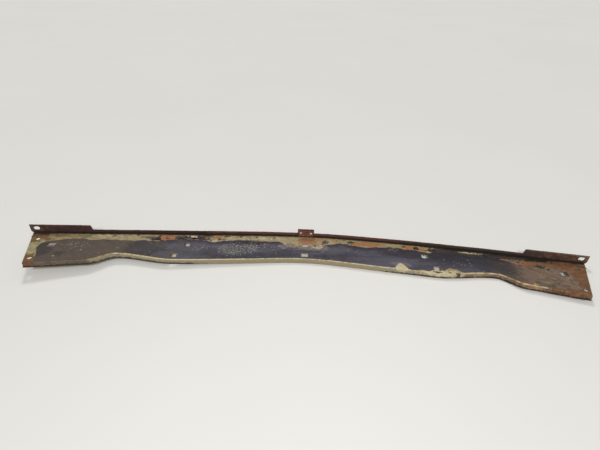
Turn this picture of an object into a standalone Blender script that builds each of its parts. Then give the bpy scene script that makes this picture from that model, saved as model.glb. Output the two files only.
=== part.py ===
"""Bowed pressed-steel strip for the foot of a door: a panel with a turned-down front lip, an angle
rail with raised end tabs spot-welded along its rear edge, a small two-hole tab in the middle, and
what is left of the black facing that was bonded on top.

Metres. +X runs along the strip, +Y to the rear rail, +Z up. The origin is the middle of the
underside of the bounding box. Every sheet is worked out from one curved reference surface: a
place on it is given by x, and by the depth d measured forwards from the rear bend line.
"""
import math

import bmesh
import bpy
from mathutils import Matrix, Vector

MM = 0.001

# Whole strip
SHEET = 1.2 * MM               # steel thickness, panel and rail alike
GAP = 0.3 * MM                 # clearance between neighbouring solids
PAD_START = 477 * MM           # from here outwards each end is straight
ELBOW = 0.07                   # slope of the bend line well away from the middle
ELBOW_SPAN = 120 * MM          # distance over which the elbow in the middle is rounded
BOW_CURVE = 0.07               # further curvature of the bend line, per metre
LEFT_RISE = 14 * MM            # how far the sprung left arm has risen at PAD_START
RIGHT_RISE = 2 * MM
TILT = 0.0876                  # rise of the panel per unit of depth

# Panel and its front lip
PANEL_HALF = 604 * MM          # rear corner of the panel from the middle
END_INSET = 44 * MM            # the front corner lies this much nearer the middle
INSET_START = 500 * MM
LAST_STATION = 588 * MM        # the panel is one flat strip beyond this
PANEL_SETBACK = 1.0 * MM       # groove between the panel's rear edge and the flange
LIP_HEIGHT = 10.2 * MM
CREASE_RADIUS = 2.5 * MM
FOOT_RADIUS = 1.2 * MM
FOOT_WIDTH = 2.4 * MM          # the lip's lower edge turns outwards by this much
LIP_SPLAY = 0.8 * MM
# Front crease: x, depth and slope of the depth, from the middle outwards
CREASE = (
    (0 * MM, 91.5 * MM, 0.0),
    (120 * MM, 97.6 * MM, 0.05),
    (275 * MM, 102.3 * MM, 0.0),
    (399 * MM, 81.3 * MM, 0.0),
    (447 * MM, 105.5 * MM, 0.1),
    (560 * MM, 118 * MM, 0.09),
)

# Rear rail
RAIL_HALF = 607.5 * MM
LEG_WIDTH = 16 * MM
RAIL_RADIUS = 1.0 * MM
FLANGE_HEIGHT = 9 * MM
TAB_HEIGHT = 20.5 * MM
TAB_SLOPE = 3 * MM             # run of the slanted inner end of a tab
SLOT_X = 594 * MM
SLOT_Z = 11.4 * MM
SLOT_LENGTH = 13 * MM
SLOT_WIDTH = 8.5 * MM
WELD_COUNT = 12
WELD_REACH = 550 * MM
WELD_DEPTH = 9 * MM
WELD_RADIUS = 2.6 * MM
WELD_RECESS = 0.1 * MM
WELD_SIDES = 12

# Centre tab
CENTRE_WIDTH = 37 * MM
CENTRE_BOTTOM = 0.8 * MM
CENTRE_TOP = 20.5 * MM
CENTRE_BODY = 3 * MM           # depth of the pressed tray, rim included
RIM = 1.6 * MM
TAB_HOLE_X = 11.8 * MM
TAB_HOLE_Z = 9.7 * MM
TAB_HOLE_RADIUS = 2.3 * MM
NOTCH_RADIUS = 3.4 * MM
TAB_WELD_X = 5 * MM
TAB_WELD_Z = 4.6 * MM
TAB_WELD_RADIUS = 1.5 * MM
WELD_CROWN = 0.2 * MM

# Holes in the panel: x, depth and side of each square, x and depth of each round hole
SQUARE_HOLES = (
    (0 * MM, 39.7 * MM, 11 * MM),
    (0 * MM, 77.5 * MM, 14.5 * MM),
    (-261 * MM, 44.5 * MM, 13.5 * MM),
    (261 * MM, 44.5 * MM, 13.5 * MM),
    (-279 * MM, 86 * MM, 15.5 * MM),
    (279 * MM, 86 * MM, 15.5 * MM),
    (-540.5 * MM, 50.5 * MM, 14.5 * MM),
    (540.5 * MM, 50.5 * MM, 14.5 * MM),
)
ROUND_HOLES = (
    (-580 * MM, 27 * MM),
    (580 * MM, 27 * MM),
    (-555.5 * MM, 100.5 * MM),
    (555.5 * MM, 100.5 * MM),
)
ROUND_HOLE_RADIUS = 4.3 * MM
PUNCH_LENGTH = 30 * MM

# Black facing: rear edge as x and depth, the front edge follows the crease
FACING = 0.5 * MM
FACING_CLEARANCE = 0.5 * MM    # around the holes
FACING_FRONT = 3.2 * MM        # stops this far behind the crease
FACING_LEFT = -564 * MM
FACING_RIGHT = 482 * MM
FACING_REAR = (
    (-564, 46), (-557, 38), (-545, 34), (-522, 28), (-488, 23), (-473, 29), (-334, 31),
    (-273, 25), (-207, 35), (-146, 25), (-125, 31), (-60, 28), (-48, 39), (-33, 52), (33, 54),
    (44, 36), (89, 24), (129, 34), (174, 23), (216, 24), (271, 31), (286, 22), (396, 21),
    (440, 30), (470, 48), (482, 58),
)
FACING_END_FRONT = ((-564, 62), (-552, 84), (-537, 112), (440, 112), (470, 88), (482, 76))

# Islands of facing left on the bare rear strip: x, depth, length and width
FLAKES = (
    (-336, 24, 18, 9),
    (-279, 19, 22, 12),
    (-243, 17, 28, 11),
    (103, 15, 14, 6),
    (247, 18, 12, 6),
    (286, 14.6, 10, 5),
)
FLAKE_SIDES = 11


def bend_line(x):
    """Y of the rear bend line: a rounded elbow and a slow curve, then straight over the end pads."""
    reach = min(abs(x), PAD_START)
    slant = math.hypot(reach, ELBOW_SPAN)
    beyond = max(abs(x) - PAD_START, 0)
    forward = ELBOW * (slant - ELBOW_SPAN) + BOW_CURVE * reach ** 2
    return -forward - beyond * (ELBOW * reach / slant + 2 * BOW_CURVE * reach)


def crown(x):
    """Height of the bend line: a parabola on each side, running on straight over the end pads."""
    rise = LEFT_RISE if x < 0 else RIGHT_RISE
    reach = min(abs(x), PAD_START) / PAD_START
    beyond = max(abs(x) - PAD_START, 0)
    return rise * (reach ** 2 + 2 * beyond / PAD_START)


def surface(x, depth, height=0.0):
    """A point at a height above the panel's top surface."""
    return Vector((x, bend_line(x) - depth, crown(x) + TILT * depth + height))


def crease_depth(x):
    """Depth of the front crease, a cubic between each two of its stations."""
    x = min(abs(x), CREASE[-1][0])
    for (x0, d0, s0), (x1, d1, s1) in zip(CREASE, CREASE[1:]):
        if x <= x1:
            span = x1 - x0
            t = (x - x0) / span
            rise = d0 * (2 * t ** 3 - 3 * t ** 2 + 1) + d1 * (3 * t ** 2 - 2 * t ** 3)
            return rise + span * (s0 * (t ** 3 - 2 * t ** 2 + t) + s1 * (t ** 3 - t ** 2))


def crease_outward(x):
    """Direction square to the crease in plan, pointing away from the panel."""
    step = 0.5 * MM
    near = bend_line(x - step) - crease_depth(x - step)
    far = bend_line(x + step) - crease_depth(x + step)
    return Vector((far - near, -2 * step, 0)).normalized()


def along(pairs, x):
    """Straight-line value between hand-set pairs in millimetres."""
    x = x / MM
    if x <= pairs[0][0]:
        return pairs[0][1] * MM
    for (x0, v0), (x1, v1) in zip(pairs, pairs[1:]):
        if x <= x1:
            return (v0 + (v1 - v0) * (x - x0) / (x1 - x0)) * MM
    return pairs[-1][1] * MM


def stations(*runs):
    """Places along x: each run is (start, end, longest step), and the runs follow one another."""
    places = [runs[0][0]]
    for start, end, step in runs:
        count = math.ceil(round((end - start) / step, 6))
        places += [start + (end - start) * k / count for k in range(1, count + 1)]
    return places


def mirrored(half):
    """The same stations on both sides of the middle."""
    return [-x for x in reversed(half[1:])] + list(half)


def material(name, colour, roughness, metallic):
    paint = bpy.data.materials.new(name)
    paint.use_nodes = True
    shader = paint.node_tree.nodes["Principled BSDF"]
    shader.inputs["Base Color"].default_value = (*colour, 1)
    shader.inputs["Roughness"].default_value = roughness
    shader.inputs["Metallic"].default_value = metallic
    paint.diffuse_color = (*colour, 1)
    return paint


def link_mesh(name, bm, collection, paint=None):
    """Turn a bmesh into a named object in a collection."""
    mesh = bpy.data.meshes.new(name)
    bm.to_mesh(mesh)
    bm.free()
    thing = bpy.data.objects.new(name, mesh)
    collection.objects.link(thing)
    if paint:
        mesh.materials.append(paint)
    return thing


def sheet(name, collection, paint, columns, rows, place, thickness):
    """A grid whose corner (column, row) is moved to place(column, row), thickened inwards."""
    bm = bmesh.new()
    bmesh.ops.create_grid(bm, x_segments=len(columns) - 1, y_segments=len(rows) - 1, size=0.5)
    for corner in bm.verts:
        column = round((corner.co.x + 0.5) * (len(columns) - 1))
        row = round((corner.co.y + 0.5) * (len(rows) - 1))
        corner.co = place(columns[column], rows[row])
    thing = link_mesh(name, bm, collection, paint)
    wall = thing.modifiers.new("thickness", "SOLIDIFY")
    wall.thickness = thickness
    wall.offset = -1
    wall.use_even_offset = True
    return thing


def plug(bm, centre, radius, length, sides, along_y=False):
    """Add a closed cylinder on an upright axis, or on the Y axis."""
    turn = Matrix.Rotation(math.radians(90), 4, "X") if along_y else Matrix()
    bmesh.ops.create_cone(
        bm, cap_ends=True, segments=sides, radius1=radius, radius2=radius, depth=length,
        matrix=Matrix.Translation(centre) @ turn)


def punch(name, cutters, shape):
    """A wire-shown cutter in a node's own collection of cutters."""
    tool = link_mesh(name, shape, cutters)
    tool.hide_render = True
    tool.display_type = "WIRE"


def square_punch(cutters, name, centre, side):
    bm = bmesh.new()
    size = Matrix.Diagonal((side, side, PUNCH_LENGTH, 1))
    bmesh.ops.create_cube(bm, size=1, matrix=Matrix.Translation(centre) @ size)
    punch(name, cutters, bm)


def round_punch(cutters, name, centre, radius, sides=20, along_y=False, stretch=0.0):
    """A round punch, or a slot punch whose two halves are pulled apart along X."""
    bm = bmesh.new()
    plug(bm, Vector((0, 0, 0)), radius, PUNCH_LENGTH, sides, along_y)
    for corner in bm.verts:
        corner.co.x += math.copysign(stretch / 2, corner.co.x) if abs(corner.co.x) > 1e-6 else 0
        corner.co += centre
    punch(name, cutters, bm)


def cut(thing, cutters):
    """Take every punch of a collection out of a sheet."""
    for tool in cutters.objects:
        hole = thing.modifiers.new(tool.name, "BOOLEAN")
        hole.operation = "DIFFERENCE"
        hole.object = tool


def lip_profile():
    """Rows of the panel from the foot's outer edge to the rear edge, as (kind, offset, drop).

    An offset is measured outwards from the crease line, a drop down from it.
    """
    foot_drop = LIP_HEIGHT - SHEET
    outer = LIP_SPLAY + FOOT_RADIUS
    rows = [("lip", LIP_SPLAY + FOOT_WIDTH, foot_drop)]
    for angle in (90, 45, 0):
        turn = math.radians(angle)
        rows.append(("lip", outer - FOOT_RADIUS * math.cos(turn),
                     foot_drop - FOOT_RADIUS * (1 - math.sin(turn))))
    for angle in (90, 60, 30, 0):
        turn = math.radians(angle)
        rows.append(("lip", -CREASE_RADIUS * (1 - math.sin(turn)),
                     CREASE_RADIUS * (1 - math.cos(turn))))
    rows.append(("rear", 0, 0))
    return rows


def panel_point(station, row):
    kind, offset, drop = row
    taper = max(abs(station) - INSET_START, 0) / (PANEL_HALF - INSET_START)
    front_x = station - math.copysign(END_INSET * taper, station)
    if kind == "rear":
        rear_x = station - (station - front_x) * PANEL_SETBACK / crease_depth(front_x)
        return surface(rear_x, PANEL_SETBACK)
    level = min(offset, 0)
    point = surface(front_x, crease_depth(front_x), TILT * level - drop)
    return point + crease_outward(front_x) * offset


def make_panel(parts, cutters):
    half = stations((0, 288 * MM, 29 * MM), (288 * MM, 460 * MM, 8.7 * MM),
                    (460 * MM, INSET_START, 20 * MM), (INSET_START, LAST_STATION, 30 * MM),
                    (LAST_STATION, PANEL_HALF, 20 * MM))
    paint = material("panel_primer", (0.42, 0.36, 0.2), 0.55, 0.0)
    panel = sheet("web_panel", parts, paint, mirrored(half), lip_profile(), panel_point, SHEET)
    for number, (x, depth, side) in enumerate(SQUARE_HOLES, 1):
        square_punch(cutters, f"panel_square_{number}", surface(x, depth), side)
    for number, (x, depth) in enumerate(ROUND_HOLES, 1):
        round_punch(cutters, f"panel_round_{number}", surface(x, depth), ROUND_HOLE_RADIUS)
    cut(panel, cutters)
    return panel


def rail_profile():
    """Rows of the rail from the leg's front edge to the flange's top, as (depth, height, pull)."""
    floor = -SHEET - GAP
    rows = [(LEG_WIDTH, floor, 7 * MM)]
    for angle in (0, 30, 60, 90):
        turn = math.radians(angle)
        rows.append((RAIL_RADIUS * (1 - math.sin(turn)), floor + RAIL_RADIUS * (1 - math.cos(turn)),
                     (6 - 2 * math.sin(turn)) * MM))
    rows.append((0, 2 * MM, 1.5 * MM))
    rows.append((0, 4.5 * MM, 0))
    rows.append((0, None, 0))
    return rows


def rail_top(x):
    inner = PAD_START + TAB_SLOPE
    return TAB_HEIGHT if abs(x) >= inner - 1e-6 else FLANGE_HEIGHT


def rail_point(x, row):
    depth, height, pull = row
    if height is None:
        height = rail_top(x)
    at_end = abs(x) > RAIL_HALF - 1e-6
    x -= math.copysign(pull, x) if at_end else 0
    return surface(x, depth, height)


def weld_places():
    return [-WELD_REACH + 2 * WELD_REACH * k / (WELD_COUNT - 1) for k in range(WELD_COUNT)]


def make_rail(parts, cutters):
    half = stations((0, PAD_START, 29 * MM), (PAD_START, PAD_START + TAB_SLOPE, TAB_SLOPE),
                    (PAD_START + TAB_SLOPE, 597 * MM, 60 * MM), (597 * MM, RAIL_HALF, 11 * MM))
    paint = material("rail_rust_brown", (0.09, 0.035, 0.03), 0.6, 0.0)
    rail = sheet("rear_rail", parts, paint, mirrored(half), rail_profile(), rail_point, SHEET)
    for side in (-1, 1):
        round_punch(cutters, f"rail_slot_{side}", surface(side * SLOT_X, 0, SLOT_Z), SLOT_WIDTH / 2,
                    along_y=True, stretch=SLOT_LENGTH - SLOT_WIDTH)
        round_punch(cutters, f"rail_notch_{side}", surface(side * TAB_HOLE_X, 0, TAB_HOLE_Z),
                    NOTCH_RADIUS, along_y=True)
    for number, x in enumerate(weld_places(), 1):
        round_punch(cutters, f"rail_weld_hole_{number}", surface(x, WELD_DEPTH),
                    WELD_RADIUS + GAP, sides=WELD_SIDES)
    cut(rail, cutters)
    return rail


def make_rail_welds(parts, paint):
    """Plugs of weld metal that fill the holes in the rail's leg and hold it to the panel."""
    length = SHEET - WELD_RECESS
    for number, x in enumerate(weld_places(), 1):
        bm = bmesh.new()
        plug(bm, surface(x, WELD_DEPTH, -SHEET - GAP - length / 2), WELD_RADIUS, length, WELD_SIDES)
        link_mesh(f"rail_weld_{number}", bm, parts, paint)


def make_centre_tab(parts, cutters):
    """A shallow pressed tray: a plate with a raised rim on its top and both sides."""
    height = CENTRE_TOP - CENTRE_BOTTOM
    back = -GAP
    middle = Vector((0, back - CENTRE_BODY / 2, CENTRE_BOTTOM + height / 2))
    size = Matrix.Diagonal((CENTRE_WIDTH, CENTRE_BODY, height, 1))
    bm = bmesh.new()
    bmesh.ops.create_cube(bm, size=1, matrix=Matrix.Translation(middle) @ size)
    top_edges = [edge for edge in bm.edges
                 if all(corner.co.z > middle.z for corner in edge.verts)
                 and abs(edge.verts[0].co.x - edge.verts[1].co.x) < GAP]
    bmesh.ops.bevel(bm, geom=top_edges, offset=3 * MM, segments=4, profile=0.5, affect="EDGES")
    paint = material("centre_tab_rust", (0.2, 0.08, 0.05), 0.7, 0.0)
    tab = link_mesh("centre_tab", bm, parts, paint)
    pocket = bmesh.new()
    pocket_size = (CENTRE_WIDTH - 2 * RIM, CENTRE_BODY, height)
    pocket_middle = middle + Vector((0, -SHEET, -RIM))
    bmesh.ops.create_cube(
        pocket, size=1,
        matrix=Matrix.Translation(pocket_middle) @ Matrix.Diagonal((*pocket_size, 1)))
    punch("tab_pocket", cutters, pocket)
    for side in (-1, 1):
        round_punch(cutters, f"tab_hole_{side}", Vector((side * TAB_HOLE_X, 0, TAB_HOLE_Z)),
                    TAB_HOLE_RADIUS, sides=16, along_y=True)
        round_punch(cutters, f"tab_weld_hole_{side}", Vector((side * TAB_WELD_X, 0, TAB_WELD_Z)),
                    TAB_WELD_RADIUS + GAP, sides=WELD_SIDES, along_y=True)
    cut(tab, cutters)
    return tab


def make_tab_welds(parts, paint):
    """Two small plugs that hold the centre tab to the flange."""
    length = SHEET + WELD_CROWN
    for number, side in enumerate((-1, 1), 1):
        bm = bmesh.new()
        centre = Vector((side * TAB_WELD_X, -GAP - length / 2, TAB_WELD_Z))
        plug(bm, centre, TAB_WELD_RADIUS, length, WELD_SIDES, along_y=True)
        link_mesh(f"tab_weld_{number}", bm, parts, paint)


def facing_point(x, row):
    rear = along(FACING_REAR, x)
    front = min(crease_depth(x) - FACING_FRONT, along(FACING_END_FRONT, x))
    return surface(x, front + (rear - front) * row, GAP + FACING)


def make_facing(parts, cutters):
    columns = stations((FACING_LEFT, -537 * MM, 5.4 * MM), (-537 * MM, 440 * MM, 11 * MM),
                       (440 * MM, FACING_RIGHT, 7 * MM))
    paint = material("black_facing", (0.045, 0.045, 0.055), 0.5, 0.0)
    facing = sheet("black_facing", parts, paint, columns, (0, 1), facing_point, FACING)
    for number, (x, depth, side) in enumerate(SQUARE_HOLES, 1):
        if FACING_LEFT < x < FACING_RIGHT and depth > along(FACING_REAR, x):
            square_punch(cutters, f"facing_square_{number}", surface(x, depth),
                         side + 2 * FACING_CLEARANCE)
    cut(facing, cutters)
    return facing


def make_flake(parts, paint, number, x, depth, length, width):
    """A thin island with an uneven outline, lying on the bare rear strip."""
    bm = bmesh.new()
    bmesh.ops.create_cone(bm, cap_ends=True, segments=FLAKE_SIDES, radius1=0.5, radius2=0.5, depth=1)
    for corner in bm.verts:
        turn = math.atan2(corner.co.y, corner.co.x)
        reach = 1 + 0.16 * math.sin(3 * turn + number) + 0.1 * math.sin(5 * turn + 2 * number)
        level = GAP + FACING * (corner.co.z + 0.5)
        place_x = x * MM + corner.co.x * reach * length * MM
        place_d = depth * MM - corner.co.y * reach * width * MM
        corner.co = surface(place_x, place_d, level)
    return link_mesh(f"facing_flake_{number}", bm, parts, paint)


def make_flakes(parts):
    paint = material("flakes", (0.05, 0.04, 0.045), 0.55, 0.0)
    for number, flake in enumerate(FLAKES, 1):
        make_flake(parts, paint, number, *flake)


def stand_on_origin(parts):
    """Hang parts and punches from an empty that brings the box's bottom centre to the origin."""
    bpy.context.view_layer.update()
    depsgraph = bpy.context.evaluated_depsgraph_get()
    corners = [part.matrix_world @ Vector(corner) for part in parts.objects
               for corner in part.evaluated_get(depsgraph).bound_box]
    low = Vector(min(corner[axis] for corner in corners) for axis in range(3))
    high = Vector(max(corner[axis] for corner in corners) for axis in range(3))
    hanger = bpy.data.objects.new("door_sweep_hanger", None)
    hanger.location = (-(low.x + high.x) / 2, -(low.y + high.y) / 2, -low.z)
    for thing in bpy.data.objects:
        if thing is not hanger:
            thing.parent = hanger
    parts.objects.link(hanger)


def new_collection(name):
    made = bpy.data.collections.new(name)
    bpy.context.scene.collection.children.link(made)
    return made


def main():
    for old in list(bpy.data.objects):
        bpy.data.objects.remove(old, do_unlink=True)
    parts = new_collection("door_sweep")
    make_panel(parts, new_collection("panel_cutters"))
    make_rail(parts, new_collection("rail_cutters"))
    weld_metal = material("weld", (0.2, 0.13, 0.09), 0.7, 0.4)
    make_rail_welds(parts, weld_metal)
    make_centre_tab(parts, new_collection("tab_cutters"))
    make_tab_welds(parts, weld_metal)
    make_facing(parts, new_collection("facing_cutters"))
    make_flakes(parts)
    stand_on_origin(parts)


main()
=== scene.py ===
"""Worn pressed-steel strip for the foot of a door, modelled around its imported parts.

Run as a script. Each piece has an operator, and the 3D view's sidebar lists them. Metres: +X along
the strip, +Y towards the rear rail, +Z up. As in the parts, a place on the strip is given by x, by
the depth measured forwards from the rear bend line, and by the height above the panel's top.
"""
import math
import random

import bmesh
import bpy
from mathutils import Matrix, Vector, noise


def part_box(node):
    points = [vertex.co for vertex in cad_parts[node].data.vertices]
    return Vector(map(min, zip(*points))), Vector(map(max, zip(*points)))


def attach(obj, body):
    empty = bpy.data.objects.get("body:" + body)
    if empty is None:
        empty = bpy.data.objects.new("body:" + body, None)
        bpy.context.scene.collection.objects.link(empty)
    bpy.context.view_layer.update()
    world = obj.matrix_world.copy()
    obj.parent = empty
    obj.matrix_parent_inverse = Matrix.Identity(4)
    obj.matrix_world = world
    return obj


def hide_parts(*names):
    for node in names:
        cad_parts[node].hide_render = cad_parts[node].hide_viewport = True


bl_info = {
    "name": "Worn Door Foot Strip",
    "version": (1, 0, 0),
    "blender": (4, 5, 0),
    "location": "3D View > Sidebar > Foot Strip",
    "description": "Models a bowed steel foot strip with its rail, centre tab and peeling facing",
    "category": "Object",
}

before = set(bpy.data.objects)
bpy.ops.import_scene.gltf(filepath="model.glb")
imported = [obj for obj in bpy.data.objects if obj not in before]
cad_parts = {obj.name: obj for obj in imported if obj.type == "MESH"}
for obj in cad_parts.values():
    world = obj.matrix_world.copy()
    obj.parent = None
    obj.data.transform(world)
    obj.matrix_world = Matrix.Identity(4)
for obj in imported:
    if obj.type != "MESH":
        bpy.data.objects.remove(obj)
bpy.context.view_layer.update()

MM = 0.001
SHEET = 1.2 * MM
GAP = 0.3 * MM

# Reference surface
PAD_START = 477 * MM
ELBOW = 0.07
ELBOW_SPAN = 120 * MM
BOW_CURVE = 0.07
LEFT_RISE = 14 * MM
RIGHT_RISE = 2 * MM
TILT = 0.0876

# Unevenness of the sheet. It dies away before the ends.
FLAT_END = 560 * MM
FLAT_RUN = 60 * MM
SLOW_DENT = 0.45 * MM
QUICK_DENT = 0.16 * MM

# Panel
PANEL_HALF = 604 * MM
END_INSET = 44 * MM
INSET_START = 500 * MM
PANEL_SETBACK = 1.0 * MM
LIP_HEIGHT = 10.2 * MM
CREASE_RADIUS = 2.5 * MM
FOOT_RADIUS = 1.2 * MM
FOOT_WIDTH = 2.4 * MM
LIP_SPLAY = 0.8 * MM            # how far the foot stands in front of the crease
WALL_MIDDLE = (0.4 * MM, 5.2 * MM)      # offset and drop of the row half-way down the lip
WALL_WAVE = 0.35 * MM
CREASE = (
    (0 * MM, 91.5 * MM, 0.0),
    (120 * MM, 97.6 * MM, 0.05),
    (275 * MM, 102.3 * MM, 0.0),
    (399 * MM, 81.3 * MM, 0.0),
    (447 * MM, 105.5 * MM, 0.1),
    (560 * MM, 118 * MM, 0.09),
)

# Rail
RAIL_HALF = 607.5 * MM
LEG_WIDTH = 16 * MM
RAIL_RADIUS = 1.0 * MM
FLANGE_HEIGHT = 9 * MM
TAB_HEIGHT = 20.5 * MM
TAB_SLOPE = 3 * MM
LEG_PULL = (7 * MM, 6.5 * MM)           # how far the leg's rows stop short of the rail's end
BEND_PULL = (6 * MM, 2 * MM)            # the same at the start of the bend, and its change
FLANGE_FOOT = ((2 * MM, 1.5 * MM), (4.5 * MM, 0))       # height and pull of the flange's rows
FLANGE_SHARES = (0.35, 0.7, 1.0)        # the other rows, as shares of the height above those
RAIL_LEAN = 0.5 * MM
RAIL_NICK = 0.25 * MM
SLOT_X = 594 * MM
SLOT_Z = 11.4 * MM
SLOT_LENGTH = 13 * MM
SLOT_WIDTH = 8.5 * MM
WELD_COUNT = 12
WELD_REACH = 550 * MM
WELD_DEPTH = 9 * MM
WELD_HOLE_RADIUS = 2.9 * MM

# Centre tab
CENTRE_WIDTH = 37 * MM
CENTRE_BOTTOM = 0.8 * MM
CENTRE_TOP = 20.5 * MM
CENTRE_BODY = 3 * MM
RIM = 1.6 * MM
TAB_HOLE_X = 11.8 * MM
TAB_HOLE_Z = 9.7 * MM
TAB_HOLE_RADIUS = 2.3 * MM
NOTCH_RADIUS = 3.4 * MM
TAB_CORNER = 3.4 * MM
POCKET_CORNER = 1.1 * MM
TAB_EDGE = 0.25 * MM
TAB_WELD_X = 5 * MM
TAB_WELD_Z = 4.6 * MM
TAB_WELD_HOLE_RADIUS = 1.8 * MM

# Holes: x, depth and side of each square, x and depth of each round hole
SQUARE_HOLES = (
    (0 * MM, 39.7 * MM, 11 * MM),
    (0 * MM, 77.5 * MM, 14.5 * MM),
    (-261 * MM, 44.5 * MM, 13.5 * MM),
    (261 * MM, 44.5 * MM, 13.5 * MM),
    (-279 * MM, 86 * MM, 15.5 * MM),
    (279 * MM, 86 * MM, 15.5 * MM),
    (-540.5 * MM, 50.5 * MM, 14.5 * MM),
    (540.5 * MM, 50.5 * MM, 14.5 * MM),
)
ROUND_HOLES = (
    (-580 * MM, 27 * MM),
    (580 * MM, 27 * MM),
    (-555.5 * MM, 100.5 * MM),
    (555.5 * MM, 100.5 * MM),
)
ROUND_HOLE_RADIUS = 4.3 * MM
HOLE_CORNER = 0.9 * MM

# Facing, all in millimetres: rear edge and the two ends of the front edge as x and depth
FACING_LEFT = -564
FACING_RIGHT = 482
FACING_FRONT = 2.6              # it stops this far short of the crease by the elbows
FACING_REACH = 1.7              # and runs this much further forward between them
REACH_FADE = (300, 345)
FACING_REAR = (
    (-564, 46), (-557, 38), (-545, 34), (-522, 28), (-488, 23), (-473, 29), (-334, 31),
    (-297, 28), (-273, 25), (-226, 27), (-207, 35), (-172, 29), (-146, 25), (-125, 31),
    (-60, 28), (-48, 39), (-33, 52), (33, 54), (44, 36), (64, 32), (89, 24), (112, 30),
    (129, 34), (156, 27), (174, 23), (216, 24), (254, 28), (271, 31), (286, 22), (308, 26),
    (339, 22), (372, 25), (396, 21), (420, 23), (440, 30), (470, 48), (482, 58),
)
FACING_END_FRONT = ((-564, 62), (-552, 84), (-537, 130), (440, 130), (470, 88), (482, 76))
FRONT_BITES = (
    # x start, x end, depth that the bite reaches
    (189, 219, 79),
    (232, 262, 97),
    (258, 300, 92),
    (290, 330, 81),
    (322, 352, 93),
    (-118, -104, 97),
)
CHIPS = (
    # x, depth, length and width of places where a chip of facing has gone
    (-515, 93, 5, 5), (-472, 70, 5, 4), (-403, 60, 3, 3), (-91, 39, 8, 3), (-226, 58, 7, 2.5),
    (-214, 61, 6, 2), (-241, 52, 5, 2), (-233, 66, 4, 2), (193, 31, 7, 2.2), (186, 34, 4, 3),
    (198, 36, 5, 2), (204, 29, 4, 2), (40, 62, 9, 2), (52, 48, 4, 2.5), (96, 47, 7, 2),
    (130, 62, 5, 2), (230, 65, 4, 2.4), (300, 50, 5, 3), (352, 40, 4, 3), (362, 78, 5, 2),
    (-60, 48, 5, 2.5), (-70, 62, 6, 2), (-62, 74, 5, 2), (-300, 62, 5, 2), (-268, 72, 4, 2),
    (-330, 74, 3, 3), (412, 58, 4, 2), (428, 70, 3, 2),
)
FLAKES = (
    # x, depth, length and width of each island of facing on the bare strip
    (-336, 24, 18, 9), (-279, 19, 22, 12), (-243, 17, 28, 11),
    (103, 15, 14, 6), (247, 18, 12, 6), (286, 14.6, 10, 5),
)
CRUMB_RUNS = ((-345, -180, 26), (-180, -60, 8), (36, 110, 8), (215, 300, 10), (380, 470, 12))
CRUMB_SEED = 11
CURL_PLACE = (-252, 17)         # x and depth of the curled scrap
CURL_TURN = math.radians(250)
CURL_RADIUS = (2.4, 0.7)        # radius where it starts, and how much smaller it ends
CURL_HALF = 7
CURL_STEPS = (20, 14)           # across and around
SCRAP_TEAR = (0.42, 0.2)        # how far an outline wanders, broadly and finely
SCRAP_CURL = 2.4
CRUMB_CURL = 1.2
CRUMB_SIZES = (1.6, 5.5)
PLY = 0.45 * MM                 # thickness of the facing as it is modelled here
PLY_FLOAT = 0.03 * MM           # it lies this far off the panel

HUNG = Vector((0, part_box("rear_rail")[1].y - SHEET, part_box("centre_tab")[0].z - CENTRE_BOTTOM))

# Light and camera
ROOM_WHITE = (1.0, 0.99, 0.97)
FILL_PLACE = (0.02, -0.76, 0.64)
FILL_SIZE = 0.2
FILL_POWER = 1.3
SUNS = (
    # name, azimuth, elevation and spread in degrees, and strength
    ("room_light", -2, 45, 14, 1.6),
    ("window_behind", 170, 47, 12, 0.9),
)
SUN_DISTANCE = 3
SKY_STRENGTH = 0.28
CAMERA_PLACE = (0.0151, -0.6932, 0.5726)
CAMERA_PITCH = math.radians(34.615)
CAMERA_YAW = math.radians(-2.158)
CAMERA_ROLL = math.radians(-1.265)
CAMERA_LENS = 24.92
CAMERA_SENSOR = 36


# ---------------------------------------------------------------- shape of the strip

def bend_line(x):
    reach = min(abs(x), PAD_START)
    slant = math.hypot(reach, ELBOW_SPAN)
    beyond = max(abs(x) - PAD_START, 0)
    forward = ELBOW * (slant - ELBOW_SPAN) + BOW_CURVE * reach ** 2
    return -forward - beyond * (ELBOW * reach / slant + 2 * BOW_CURVE * reach)


def crown(x):
    rise = LEFT_RISE if x < 0 else RIGHT_RISE
    reach = min(abs(x), PAD_START) / PAD_START
    beyond = max(abs(x) - PAD_START, 0)
    return rise * (reach ** 2 + 2 * beyond / PAD_START)


def crease_depth(x):
    x = min(abs(x), CREASE[-1][0])
    for (x0, d0, s0), (x1, d1, s1) in zip(CREASE, CREASE[1:]):
        if x <= x1:
            span = x1 - x0
            t = (x - x0) / span
            rise = d0 * (2 * t ** 3 - 3 * t ** 2 + 1) + d1 * (3 * t ** 2 - 2 * t ** 3)
            return rise + span * (s0 * (t ** 3 - 2 * t ** 2 + t) + s1 * (t ** 3 - t ** 2))


def crease_outward(x):
    step = 0.5 * MM
    near = bend_line(x - step) - crease_depth(x - step)
    far = bend_line(x + step) - crease_depth(x + step)
    return Vector((far - near, -2 * step, 0)).normalized()


def dent(x, depth):
    """Small unevenness of the sheet, which dies away at the ends so that the size stays true."""
    fade = min(1, max(0, (FLAT_END - abs(x)) / FLAT_RUN))
    slow = noise.noise(Vector((x * 9, depth * 22, 3.1)))
    quick = noise.noise(Vector((x * 31, depth * 45, 8.7)))
    return fade * (SLOW_DENT * slow + QUICK_DENT * quick)


def surface(x, depth, height=0.0):
    """A point of the strip in the parts' own frame, at a height above the panel's top."""
    lift = crown(x) + TILT * depth + height + dent(x, depth)
    return HUNG + Vector((x, bend_line(x) - depth, lift))


def place_of(point):
    """x, depth and height of a point: the reverse of surface()."""
    x = point.x
    depth = bend_line(x) - (point.y - HUNG.y)
    return x, depth, point.z - HUNG.z - crown(x) - TILT * depth


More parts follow.
